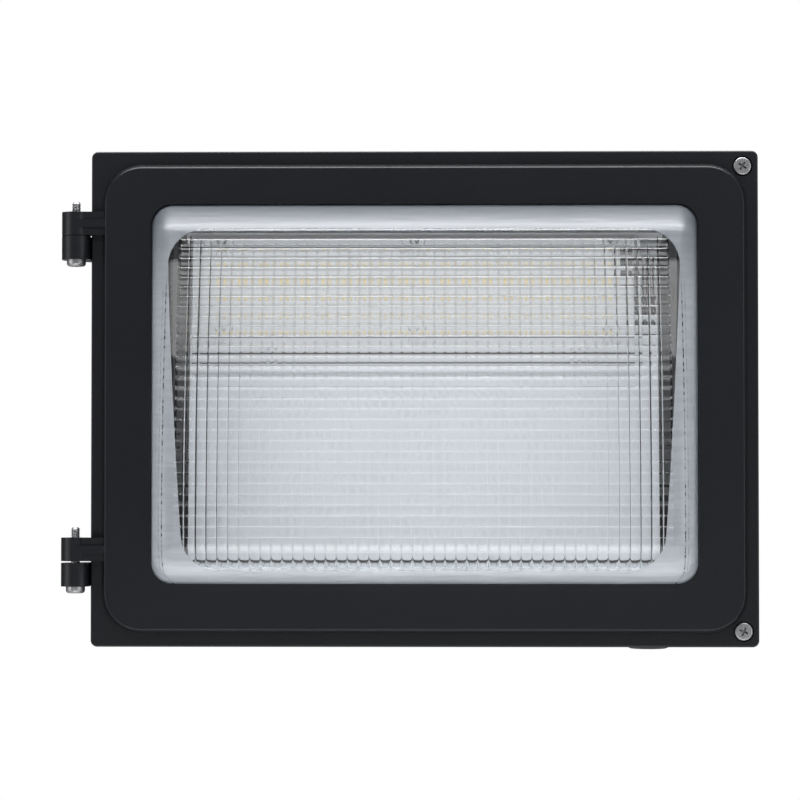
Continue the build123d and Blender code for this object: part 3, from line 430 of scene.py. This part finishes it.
def metal(name, colour, roughness, streak):
    """Bare metal with fine turning or rolling marks along one direction."""
    finish = Finish(name)
    stretched = finish.node("ShaderNodeMapping", {}, {"Vector": finish.place(), "Scale": streak})
    marks = finish.noise(1.0, detail=3.0, where=stretched)
    finish.principled(
        Base_Color=finish.blend(marks, (*[c * 0.86 for c in colour], 1), (*colour, 1)),
        Metallic=1.0,
        Roughness=finish.ramp(marks, (0.3, roughness * 0.8), (0.7, roughness * 1.25)),
        Normal=finish.bump(marks, 0.006),
    )
    return finish.material


steel = metal("screw_stainless", (0.42, 0.42, 0.43), 0.42, (2.5, 2.5, 2.5))
spring_steel = metal("clip_spring_steel", (0.50, 0.50, 0.51), 0.38, (0.4, 6.0, 0.4))
brass = metal("terminal_brass", (0.62, 0.47, 0.22), 0.32, (2.0, 2.0, 2.0))
print("metals ready")

# %% [markdown]
# ## Clear glass
#
# The lens is pressed glass. One Principled node with full transmission bends the light, and a
# Transparent shader lets the lamps' rays through to the tray, as real glass lets daylight in.
# Refractive caustics would be truer, but they need far more samples.

# %% Clear glass


def let_lamps_through(finish, shader, share):
    """Adds the shader for the lamps' rays: a tinted opening in place of a dark shadow."""
    opening = finish.node("ShaderNodeBsdfTransparent", {}, {"Color": grey(share, (0.98, 1.0, 1.0))})
    lamp_ray = finish.node("ShaderNodeLightPath", out=1)
    finish.show(finish.node("ShaderNodeMixShader", {}, {0: lamp_ray, 1: shader, 2: opening}))


GLASS_IOR = 1.49
glass = Finish("prismatic_glass_clear")
clear_shader = glass.principled(
    Base_Color=(0.985, 0.993, 1.0, 1.0), Roughness=0.0, IOR=GLASS_IOR, Transmission_Weight=1.0
)
let_lamps_through(glass, clear_shader, 0.95)
print(glass.material.name)

# %% [markdown]
# ## Milky walls of the lens
#
# Outside the fluted front the walls are stippled, like frosted glass. Painted light and shade make
# them lighter at the bottom and darker at the top. Slow waves come from the pressing, and two dark
# beaded lines run up near each side. One material with a mask would do too, but a second slot keeps
# each a single Principled node.

# %% Milky walls
WALL_FOOT, WALL_SPAN = -85.0, 170.0  # lowest point and height of the walls
# Ends of the painted light and shade: the wall's colour at its shaded top and at its lit bottom.
WALL_PAINTED_SHADE, WALL_PAINTED_LIGHT = (0.165, 0.18, 0.205, 1.0), (0.88, 0.92, 0.98, 1.0)
STREAK, SIDE_LINE_DARK = (0.16, 0.18, 0.21, 1.0), (0.010, 0.012, 0.016, 1.0)
FIRST_LINE, SECOND_LINE = 112.8, 114.2  # millimetres from the middle
frost = Finish("prismatic_glass_wall")
aside = frost.along(0).math("ABSOLUTE")
height = (frost.along(2) - WALL_FOOT) / WALL_SPAN
# Painted light and shade by height: lighter at the bottom, darker at the top.
painted_light_by_height = frost.ramp(height, (0.02, 0.83), (0.12, 0.5), (0.75, 0.34), (0.96, 0.02))
flow = frost.node("ShaderNodeMapping", {}, {"Vector": frost.place(), "Scale": (0.05, 0.05, 0.5)})
waves = frost.noise(1.0, detail=3.0, where=flow)
streaks = frost.ramp(waves, (0.35, 0.0), (0.65, 0.22))
beads = frost.ramp(frost.noise(0.55, detail=1.0), (0.40, 1.0), (0.55, 0.25))
below_corner = frost.ramp(height, (0.76, 1.0), (0.83, 0.0))
# Two dark beaded lines at set distances from the middle, left off above the corners.
two_lines = aside.math("COMPARE", FIRST_LINE, 0.28) + aside.math("COMPARE", SECOND_LINE, 0.2) * 0.5
milky_lit_and_shaded = frost.blend(streaks, frost.blend(painted_light_by_height, WALL_PAINTED_SHADE, WALL_PAINTED_LIGHT), STREAK)
wall_shader = frost.principled(
    Base_Color=frost.blend(two_lines * beads * below_corner, milky_lit_and_shaded, SIDE_LINE_DARK),
    Roughness=0.34,
    IOR=GLASS_IOR,
    Transmission_Weight=0.35,
    Normal=frost.bump(waves, 0.25),
)
let_lamps_through(frost, wall_shader, 0.85)
print(frost.material.name)

# %% [markdown]
# ## The lens
#
# Seen from the side, the lens has a top wall, a smooth slope, a long shallow curve and a rounded
# bottom. Its front carries level flutes outside and upright flutes inside, so that each crossing
# acts as a small lens over the LEDs. A box with a displacement map would soften the flutes and
# lose their sharp valleys. So a flat grid is wrapped over the form: its rows follow the side
# view, its columns go across, and the flutes are pushed in where their rows or columns fall.

# %% Side view of the lens
BACK, FLANGE_FRONT = 102.2, 105.2  # millimetres in front of the wall
RECESS, BAND_FRONT, NOSE = 106.0, 109.5, 161.5
LOW, HIGH, SLOPE_END = -82.5, 86.5, 75.5
FLANGE_WIDTH, HALF_AT_RECESS = 7.0, 122.0
FRONT_RADIUS, BOTTOM_RADIUS, CREASE, WALL, EDGE = 300.0, 17.0, 11.0, 4.0, 9.0
DRAFT = math.radians(5.5)
PITCH, LEVEL_DEPTH, UPRIGHT_DEPTH, SKIN = 4.7, 0.20, 0.20, 0.05
GROOVE_WIDTH, GROOVE_DEPTH = 0.26, 0.11  # sharp valley between two flutes
ACROSS_FLUTE = (0.0, 0.055, 0.16, 0.31, 0.5, 0.69, 0.84, 0.945)  # shares of a pitch, valley to valley
BOTTOM_STEPS, EDGE_COLUMNS, STRIP_COLUMNS = 14, 16, 5
SAME_PLACE = 1e-7  # metres; points nearer than this are one point
TOP_MARGIN = math.radians(0.8)  # no flute runs into the crease under the slope
nose_z = LOW + (NOSE - BOTTOM_RADIUS - RECESS) * math.tan(DRAFT) + BOTTOM_RADIUS / math.cos(DRAFT)
arc_forward = NOSE - FRONT_RADIUS
arc_top = math.asin((SLOPE_END - nose_z) / FRONT_RADIUS)
flute_step = PITCH / FRONT_RADIUS
flute_rows = int((arc_top - TOP_MARGIN) / flute_step)


def station(forward, z, angle, kind, phase=0.0):
    """A point of the side view. The angle gives the way into the glass: 0 is straight back."""
    inwards = (-math.cos(angle), -math.sin(angle))
    return {"forward": forward, "z": z, "in": inwards, "kind": kind, "phase": phase}


def on_circle(centre, radius, angle, kind, phase=0.0):
    """A station on an arc, looking in towards its centre."""
    forward = centre[0] + radius * math.cos(angle)
    return station(forward, centre[1] + radius * math.sin(angle), angle, kind, phase)


def round_corner(corner, before, after, radius, steps):
    """Stations round a corner between two straight directions, given by their way-in angles."""
    turn = (before - after) / 2
    reach = radius / math.cos(turn)
    middle = (before + after) / 2
    centre = (corner[0] - reach * math.cos(middle), corner[1] - reach * math.sin(middle))
    angles = [before + (after - before) * index / steps for index in range(steps + 1)]
    return [on_circle(centre, radius, angle, "plain") for angle in angles]


def side_view(start, phases):
    """Stations from the top wall's back, round the front, to the bottom wall's back."""
    first = (BAND_FRONT + 1, HIGH)
    second = (arc_forward + FRONT_RADIUS * math.cos(arc_top), SLOPE_END)
    slope = math.atan2(second[0] - first[0], first[1] - second[1])
    stations = [station(start, HIGH, math.pi / 2, "plain")]
    stations += round_corner(first, math.pi / 2, slope, CREASE, 8)
    stations += round_corner(second, slope, arc_top, CREASE, 10)
    top = flute_rows * flute_step
    for phase in [row + share for row in range(flute_rows) for share in phases] + [flute_rows]:
        angle = top - phase * flute_step
        stations.append(on_circle((arc_forward, nose_z), FRONT_RADIUS, angle, "flute", phase))
    end = -(math.pi / 2 - DRAFT)
    for index in range(1, BOTTOM_STEPS + 1):
        angle = end * index / BOTTOM_STEPS
        stations.append(on_circle((NOSE - BOTTOM_RADIUS, nose_z), BOTTOM_RADIUS, angle, "bottom"))
    stations.append(station(start, LOW + (start - RECESS) * math.tan(DRAFT), end, "plain"))
    return stations


print("flutes down the front:", flute_rows, "nose height", round(nose_z, 1))

# %% [markdown]
# ## Wrapping the grid
#
# Seen from above, the lens narrows towards its nose by the draft that lets it leave the mould,
# and its side edges are round. Each column of the grid knows which of these it belongs to: the
# round edge, the strip beside the flutes, or the fluted flat. The flutes themselves are shallow
# arcs with a sharp groove at each end, and a groove needs its own columns to stay sharp.

# %% Wrap a grid over the form


def half_width(forward):
    return HALF_AT_RECESS - (forward - RECESS) * math.tan(DRAFT)


SIDE_GAP = 0.3  # millimetres between the last flute and the round edge
flute_reach = half_width(NOSE + 1) - EDGE - SIDE_GAP


def rib(phase, depth):
    """How far a flute's surface lies under its crest, with a groove at each end of the pitch."""
    radius = ((PITCH / 2) ** 2 + depth**2) / (2 * depth)
    across = abs(phase % 1.0 - 0.5) * PITCH
    groove = max(0.0, across - PITCH / 2 + GROOVE_WIDTH) / GROOVE_WIDTH * GROOVE_DEPTH
    return radius - math.sqrt(radius**2 - across**2) + groove


def columns(flat):
    """Columns from left to right: round the left edge, over the flat, round the right edge."""
    left = [("edge", -1, index / EDGE_COLUMNS) for index in range(EDGE_COLUMNS, 0, -1)]
    left += [("between", -1, index / STRIP_COLUMNS) for index in range(STRIP_COLUMNS, 0, -1)]
    right = [(kind, -side, share) for kind, side, share in reversed(left)]
    return left + [("flat", x, 0) for x in flat] + right


def wrap(bm, stations, across, inset, edge, outside):
    """Wraps a grid: rows are the stations, columns go across. Returns the vertices by row."""
    wide, tall = len(across) - 1, len(stations) - 1
    grid = bmesh.ops.create_grid(bm, x_segments=wide, y_segments=tall, size=0.5)
    rows = [[None] * len(across) for _ in stations]
    across_end = max(a for kind, a, _ in across if kind == "flat")
    for vertex in grid["verts"]:
        i = round((vertex.co.x + 0.5) * wide)
        j = round((0.5 - vertex.co.y) * tall)
        rows[j][i] = vertex
        here = stations[j]
        into_f, into_z = here["in"]
        forward, z = here["forward"] + inset * into_f, here["z"] + inset * into_z
        half = half_width(forward) - inset / math.cos(DRAFT)
        lean = -math.tan(DRAFT) * into_f
        shift = half + lean * edge - edge * math.sqrt(1 + lean * lean)
        kind, a, b = across[i]
        if kind == "edge":
            angle = b * (math.pi / 2 - math.atan(lean))
            x = a * (shift + edge * math.sin(angle))
            depth = edge * (1 - math.cos(angle))
        elif kind == "between":
            x = a * (across_end + (shift - across_end) * b)
            depth = 0.0
        else:
            x = a
            depth = 0.0
            on_flutes = abs(a) <= flute_reach
            if outside and here["kind"] == "flute" and on_flutes:
                depth = SKIN + rib(here["phase"], LEVEL_DEPTH)
            if not outside and here["kind"] in ("flute", "bottom") and on_flutes:
                depth = -SKIN - UPRIGHT_DEPTH + rib(a / PITCH, UPRIGHT_DEPTH)
        vertex.co = (x * MM, -(forward + depth * into_f) * MM, (z + depth * into_z) * MM)
    return rows


print("flutes reach", round(flute_reach, 1), "mm to each side")

# %% [markdown]
# ## Edge of the clear front
#
# The clear front ends along a shape like a keystone with rounded corners, wider at the top. Faces
# of the grid never follow such an edge, so a mask by faces alone would end in steps. Each side
# of the outline is a plane that cuts the mesh first. The outline is convex, so no cut crosses
# the clear part.

# %% Outline of the clear front
FRONT_TOP, FRONT_BOTTOM = 74.5, -76.1
FRONT_TOP_X, FRONT_BOTTOM_X = 113.6, 103.4
FRONT_CORNER, CORNER_STEPS = 16.0, 8


def rounded_outline():
    """Points of the outline, clockwise from the top left, with an arc at each corner."""
    corners = [
        Vector((-FRONT_TOP_X, FRONT_TOP)), Vector((FRONT_TOP_X, FRONT_TOP)),
        Vector((FRONT_BOTTOM_X, FRONT_BOTTOM)), Vector((-FRONT_BOTTOM_X, FRONT_BOTTOM)),
    ]
    points = []
    for index, corner in enumerate(corners):
        back = (corners[index - 1] - corner).normalized()
        on = (corners[(index + 1) % 4] - corner).normalized()
        half = back.angle(on) / 2
        centre = corner + (back + on).normalized() * FRONT_CORNER / math.sin(half)
        first = corner + back * FRONT_CORNER / math.tan(half) - centre
        turn = math.pi - 2 * half
        for step in range(CORNER_STEPS + 1):
            points.append(centre + Matrix.Rotation(-turn * step / CORNER_STEPS, 2) @ first)
    return points


def front_planes():
    """A point and an outward direction for each side of the outline, as (x, z) pairs."""
    points = rounded_outline()
    sides = []
    for here, after in zip(points, points[1:] + points[:1]):
        along = after - here
        if along.length > 0.01:
            sides.append((here, Vector((-along.y, along.x)).normalized()))
    return sides


clear_sides = front_planes()
print("outline of the clear front has", len(clear_sides), "sides")

# %% [markdown]
# ## Cutting along the outline
#
# The outline is worked with bisect_plane, the knife of a mesh. It only adds edges where a plane
# crosses a face, so the form stays as it was, and each new piece lies on one side of the outline.

# %% Cut the outline


def within_front(x, z):
    """True inside the outline of the clear front."""
    return all((Vector((x, z)) - point).dot(out) < 0.01 for point, out in clear_sides)


def cut_outline(bm, faces):
    """Cuts the given faces along the outline, and returns them with their new pieces."""
    pieces = set(faces)
    for point, out in clear_sides:
        edges = {e for f in pieces for e in f.edges}
        verts = {v for f in pieces for v in f.verts}
        cut = bmesh.ops.bisect_plane(
            bm, geom=list(pieces | edges | verts), dist=SAME_PLACE,
            plane_co=(point.x * MM, 0, point.y * MM), plane_no=(out.x, 0, out.y),
        )
        pieces = {g for g in cut["geom"] if isinstance(g, bmesh.types.BMFace)}
    return pieces


print("knife ready")

# %% [markdown]
# ## Flange of the lens
#
# Behind the window, the lens ends in a flat flange that the clips press against the door. It
# grows out of the wall's open edge: the edge is extruded, moved out in the plane of the flange,
# then extruded back. A separate frame would leave a seam that the real glass doesn't have.

# %% Flange


def ring(bm, loop, shift_out, forward):
    """A copy of a closed loop, moved out in the plane of the flange and to another depth."""
    made = bmesh.ops.extrude_edge_only(bm, edges=loop)
    new_verts = {g for g in made["geom"] if isinstance(g, bmesh.types.BMVert)}
    new_edges = [
        g for g in made["geom"]
        if isinstance(g, bmesh.types.BMEdge) and all(v in new_verts for v in g.verts)
    ]
    middle_z = (HIGH + LOW - 0.1) / 2 * MM
    for vertex in new_verts:
        if shift_out:
            core_x, core_z = (HALF_AT_RECESS - EDGE) * MM, ((HIGH - LOW) / 2 - EDGE) * MM
            x, z = vertex.co.x, vertex.co.z - middle_z
            near_x, near_z = max(-core_x, min(core_x, x)), max(-core_z, min(core_z, z))
            out = Vector((x - near_x, 0.0, z - near_z)).normalized()
            vertex.co += out * shift_out * MM
        vertex.co.y = -forward * MM
    return new_edges


def boundary(rows, bm):
    """The open back edge of a wrapped grid whose sides have been closed."""
    wanted = set(rows[0]) | set(rows[-1])
    return [e for e in bm.edges if e.is_boundary and e.verts[0] in wanted and e.verts[1] in wanted]


print("flange ready")

# %% [markdown]
# ## Building the lens
#
# Two wraps make the shell. The outer one carries the level flutes. The inner one, a wall's
# thickness further in, carries the upright ones. A bridge between the flange and the inner edge
# closes the glass, which matters here: light only bends right through a closed body.

# %% Build the lens
bm = bmesh.new()
STEP_OUT, FINE_STEP, FINE_COUNT = 0.25, 0.8, 21  # millimetres from the flutes' ends
close = [flute_reach - FINE_STEP * k for k in range(FINE_COUNT)]
middle = [close[-1] * (k / 4 - 1) for k in range(1, 8)]
outer_flat = [-x for x in close] + middle + close[::-1]
outer_flat = [-flute_reach - STEP_OUT] + outer_flat + [flute_reach + STEP_OUT]
outer_rows = wrap(bm, side_view(FLANGE_FRONT, ACROSS_FLUTE), columns(outer_flat), 0.0, EDGE, True)
for side in (0, -1):
    bm.faces.new([row[side] for row in outer_rows])
outer_loop = boundary(outer_rows, bm)
flange_edge = ring(bm, outer_loop, FLANGE_WIDTH, FLANGE_FRONT)
flange_back = ring(bm, flange_edge, 0.0, BACK)

flutes_each_side = int(flute_reach / PITCH)
ends = flutes_each_side * PITCH
flutes = range(-flutes_each_side, flutes_each_side)
inner_flat = [PITCH * (k + share) for k in flutes for share in ACROSS_FLUTE]
inner_flat = [-ends - SIDE_GAP] + inner_flat + [ends, ends + SIDE_GAP]
inner_rows = wrap(bm, side_view(BACK, (0.0, 0.5)), columns(inner_flat), WALL, EDGE - WALL, False)
for side in (0, -1):
    bm.faces.new([row[side] for row in inner_rows])
inner_loop = boundary(inner_rows, bm)
bmesh.ops.bridge_loops(bm, edges=flange_back + inner_loop)
bmesh.ops.recalc_face_normals(bm, faces=bm.faces)
inside = {vertex for row in inner_rows for vertex in row}
outer_faces = [face for face in bm.faces if not all(vertex in inside for vertex in face.verts)]
for face in cut_outline(bm, outer_faces):
    centre = face.calc_center_median() / MM
    if not within_front(centre.x, centre.z):
        face.material_index = 1
lens_mesh = bpy.data.meshes.new("lens_fluted")
bm.to_mesh(lens_mesh)
open_edges = sum(1 for e in bm.edges if not e.is_manifold)
bm.free()
for polygon in lens_mesh.polygons:
    polygon.use_smooth = True
lens_mesh.set_sharp_from_angle(angle=math.radians(28))
lens = bpy.data.objects.new("lens_fluted", lens_mesh)
bpy.context.scene.collection.objects.link(lens)
lens.data.materials.append(glass.material)
lens.data.materials.append(frost.material)
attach(lens, "door")
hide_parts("lens")
print("lens faces", len(lens_mesh.polygons), "open edges", open_edges)

# %% [markdown]
# ## Screws
#
# The two captive screws and the two hinge screws are the only bright metal in the photograph.
# Each body is a side view spun round its axis, as on a lathe. The cross recess is a small cross
# pushed in and narrowed. A thread is a triangle spun while it climbs by one pitch each turn.

# %% Turn a screw on the lathe
RECESS_TAPER = 0.55  # width of the recess's floor as a share of its mouth
STEPS_PER_TURN = 20  # of a thread


def turned(bm, profile, segments=48):
    """Spins a side view of (radius, height) points round the upright axis."""
    chain = [bm.verts.new((radius * MM, 0.0, height * MM)) for radius, height in profile]
    edges = [bm.edges.new(pair) for pair in zip(chain, chain[1:])]
    bmesh.ops.spin(
        bm, geom=chain + edges, cent=(0, 0, 0), axis=(0, 0, 1), angle=2 * math.pi,
        steps=segments, use_merge=True,
    )
    bmesh.ops.remove_doubles(bm, verts=bm.verts, dist=SAME_PLACE)


def cross_recess(bm, top, rim_radius, reach, width, depth, turn):
    """Closes a screw's head round a cross-shaped recess with walls that taper in."""
    half = width / 2
    quarter = [(reach, -half), (reach, half), (half, half)]
    outline = []
    for k in range(4):
        c, s = math.cos(turn + k * math.pi / 2), math.sin(turn + k * math.pi / 2)
        outline += [(x * c - y * s, x * s + y * c) for x, y in quarter]
    mouth = [bm.verts.new((x * MM, y * MM, top * MM)) for x, y in outline]
    bottom = bm.faces.new(mouth)
    mouth_edges = list(bottom.edges)
    pushed = bmesh.ops.extrude_face_region(bm, geom=[bottom])
    floor_verts = [g for g in pushed["geom"] if isinstance(g, bmesh.types.BMVert)]
    if bottom.is_valid:
        bmesh.ops.delete(bm, geom=[bottom], context="FACES_ONLY")
    for vertex in floor_verts:
        vertex.co.x *= RECESS_TAPER
        vertex.co.y *= RECESS_TAPER
        vertex.co.z -= depth * MM

    def on_rim(vertex):
        above, outside = vertex.co.z - top * MM, vertex.co.xy.length - rim_radius * MM
        return abs(above) < SAME_PLACE and abs(outside) < SAME_PLACE

    rim = [e for e in bm.edges if e.is_boundary and all(on_rim(v) for v in e.verts)]
    mouth_edges = [e for e in mouth_edges if e.is_valid and e.is_boundary]
    bmesh.ops.bridge_loops(bm, edges=rim + mouth_edges)


def thread(bm, radius, pitch, start, end, depth=0.36):
    """A triangular ridge that climbs round a shank."""
    turns = (end - start) / pitch
    steps = int(turns * STEPS_PER_TURN)
    root, half = radius - depth, pitch * 0.48
    corners = [(root, -half), (radius, 0.0), (root, half), (root - 0.1, 0.0)]
    verts = [bm.verts.new((r * MM, 0.0, (start + h) * MM)) for r, h in corners]
    face = bm.faces.new(verts)
    bmesh.ops.spin(
        bm, geom=[face], cent=(0, 0, 0), axis=(0, 0, 1), dvec=(0, 0, (end - start) * MM / steps),
        angle=2 * math.pi * turns, steps=steps,
    )


def finish_screw(bm, name, node, body, place):
    """Places the lathe work and hands it over as the stand-in for a CAD node."""
    bmesh.ops.recalc_face_normals(bm, faces=bm.faces)
    bmesh.ops.transform(bm, matrix=place, verts=bm.verts)
    mesh = bpy.data.meshes.new(name)
    bm.to_mesh(mesh)
    for polygon in mesh.polygons:
        polygon.use_smooth = True
    mesh.set_sharp_from_angle(angle=math.radians(32))
    made = bpy.data.objects.new(name, mesh)
    made.data.materials.append(steel)
    bpy.context.scene.collection.objects.link(made)
    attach(made, body)
    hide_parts(node)
    print(name, "faces", len(mesh.polygons))


def rounded_head(radius, under, top, corner, rim_radius, steps=6):
    """Side view of a pan head, from the rim of the recess out, round the edge and back under."""
    profile = [(rim_radius, top)]
    middle_r, middle_z = radius - corner, top - corner
    for k in range(steps + 1):
        angle = math.pi / 2 * (1 - k / steps)
        profile.append((middle_r + corner * math.cos(angle), middle_z + corner * math.sin(angle)))
    return profile + [(radius, under)]


print("lathe ready")

# %% [markdown]
# ## Captive screws
#
# A captive screw holds the door shut. Behind its head the shank is thinner than the thread, so
# a washer on the shank keeps the screw in the door when it is undone. The two recesses are
# turned as the photograph shows them, because no two screws stop at the same angle.

# %% Captive screws
SCREW_X, SCREW_Z = 143.0, 104.5  # right of the middle, and above or below it
HEAD_BACK, HEAD_FRONT, SHANK_END = 102.5, 105.1, 84.0  # in front of the wall
THREAD_RADIUS, THREAD_PITCH = 2.0, 0.7  # M4
for name, level, turn in (("upper", SCREW_Z, 58.0), ("lower", -SCREW_Z, 67.0)):
    bm = bmesh.new()
    shank = [(1.5, HEAD_BACK), (1.5, 91.1), (1.64, 91.0), (1.64, 84.4), (1.2, SHANK_END)]
    turned(bm, rounded_head(4.0, HEAD_BACK, HEAD_FRONT, 0.7, 2.6) + shank + [(0.0, SHANK_END)])
    cross_recess(bm, HEAD_FRONT, 2.6, 2.1, 0.95, 1.7, math.radians(turn))
    thread(bm, THREAD_RADIUS, THREAD_PITCH, 84.8, 90.8)
    place = Matrix.Translation((SCREW_X * MM, 0, level * MM)) @ Matrix.Rotation(math.pi / 2, 4, "X")
    finish_screw(bm, f"captive_screw_{name}_turned", f"captive_screw_{name}", f"{name}_screw", place)
    bm.free()

# %% [markdown]
# ## Hinge screws
#
# Each hinge turns on a screw put in from below: its plain shank is the pin, and its thread shows
# above the upper lug. Both screws are one CAD node, so both are made one mesh here.

# %% Hinge screws
HINGE_X, HINGE_Y = -157.0, -103.0
LUG_HEIGHT, THREAD_SHOWN = 10.5, 4.6
bm = bmesh.new()
for gap, head_under, turn in ((0.3, 62.8, 20.0), (0.9, -84.4, 50.0)):
    one = bmesh.new()
    shank = 2 * LUG_HEIGHT + gap + THREAD_SHOWN
    pin = [(1.98, 0.0), (1.98, 8.0 - shank)]
    threaded = [(1.66, 7.8 - shank), (1.66, 0.4 - shank), (1.3, -shank), (0.0, -shank)]
    turned(one, rounded_head(4.3, 0.0, 3.1, 1.4, 2.5) + pin + threaded)
    cross_recess(one, 3.1, 2.5, 2.1, 1.0, 1.6, math.radians(turn))
    thread(one, THREAD_RADIUS, THREAD_PITCH, 0.6 - shank, 7.6 - shank)
    bmesh.ops.rotate(one, cent=(0, 0, 0), matrix=Matrix.Rotation(math.pi, 3, "X"), verts=one.verts)
    bmesh.ops.translate(one, vec=(HINGE_X * MM, HINGE_Y * MM, head_under * MM), verts=one.verts)
    part = bpy.data.meshes.new("hinge_screw_work")
    one.to_mesh(part)
    bm.from_mesh(part)
    one.free()
    bpy.data.meshes.remove(part)
finish_screw(bm, "hinge_screws_turned", "hinge_screws", "door", Matrix.Identity(4))
bm.free()

# %% [markdown]
# ## Finishes of the CAD nodes
#
# Every other piece keeps the shape that the CAD gave it, and only its material slots change. The
# screws that the lathe work stands for get their steel too, so they still match if one is shown.

# %% Finishes of the CAD nodes


def finish_nodes(material, *names):
    for name in names:
        slots = nodes[name].data.materials
        slots.clear()
        slots.append(material)


finish_nodes(coat.material, "back_housing", "door_frame", "entry_plug")
finish_nodes(tray_white, "reflector_tray")
finish_nodes(plate_finish.material, "led_plate")
finish_nodes(board_white, "led_board")
finish_nodes(pad_grey, "thermal_pad")
finish_nodes(
    rubber, "lens_gasket", "door_gasket", "screw_seal_upper", "screw_seal_lower",
    "entry_plug_seal", "lead_grommet",
)
finish_nodes(nylon, "screw_retainers")
finish_nodes(driver_grey, "led_driver")
finish_nodes(terminal_black, "terminal_block", "led_connector")
finish_nodes(lead_dark_red, "led_lead_positive")
finish_nodes(lead_black, "led_lead_negative", "supply_lead_line")
finish_nodes(lead_white, "supply_lead_neutral")
finish_nodes(lead_green, "ground_lead")
finish_nodes(brass, "terminal_screws", "ground_lug")
finish_nodes(spring_steel, "lens_clips")
finish_nodes(
    steel, "lens_clip_screws", "tray_screws", "driver_screws", "terminal_fixings", "ground_screw",
    "hinge_screws", "captive_screw_upper", "captive_screw_lower",
)
finish_nodes(screw_white, "led_plate_screws", "board_screws")
finish_nodes(phosphor, "led_chips")
print("finishes set on", len(nodes), "nodes")
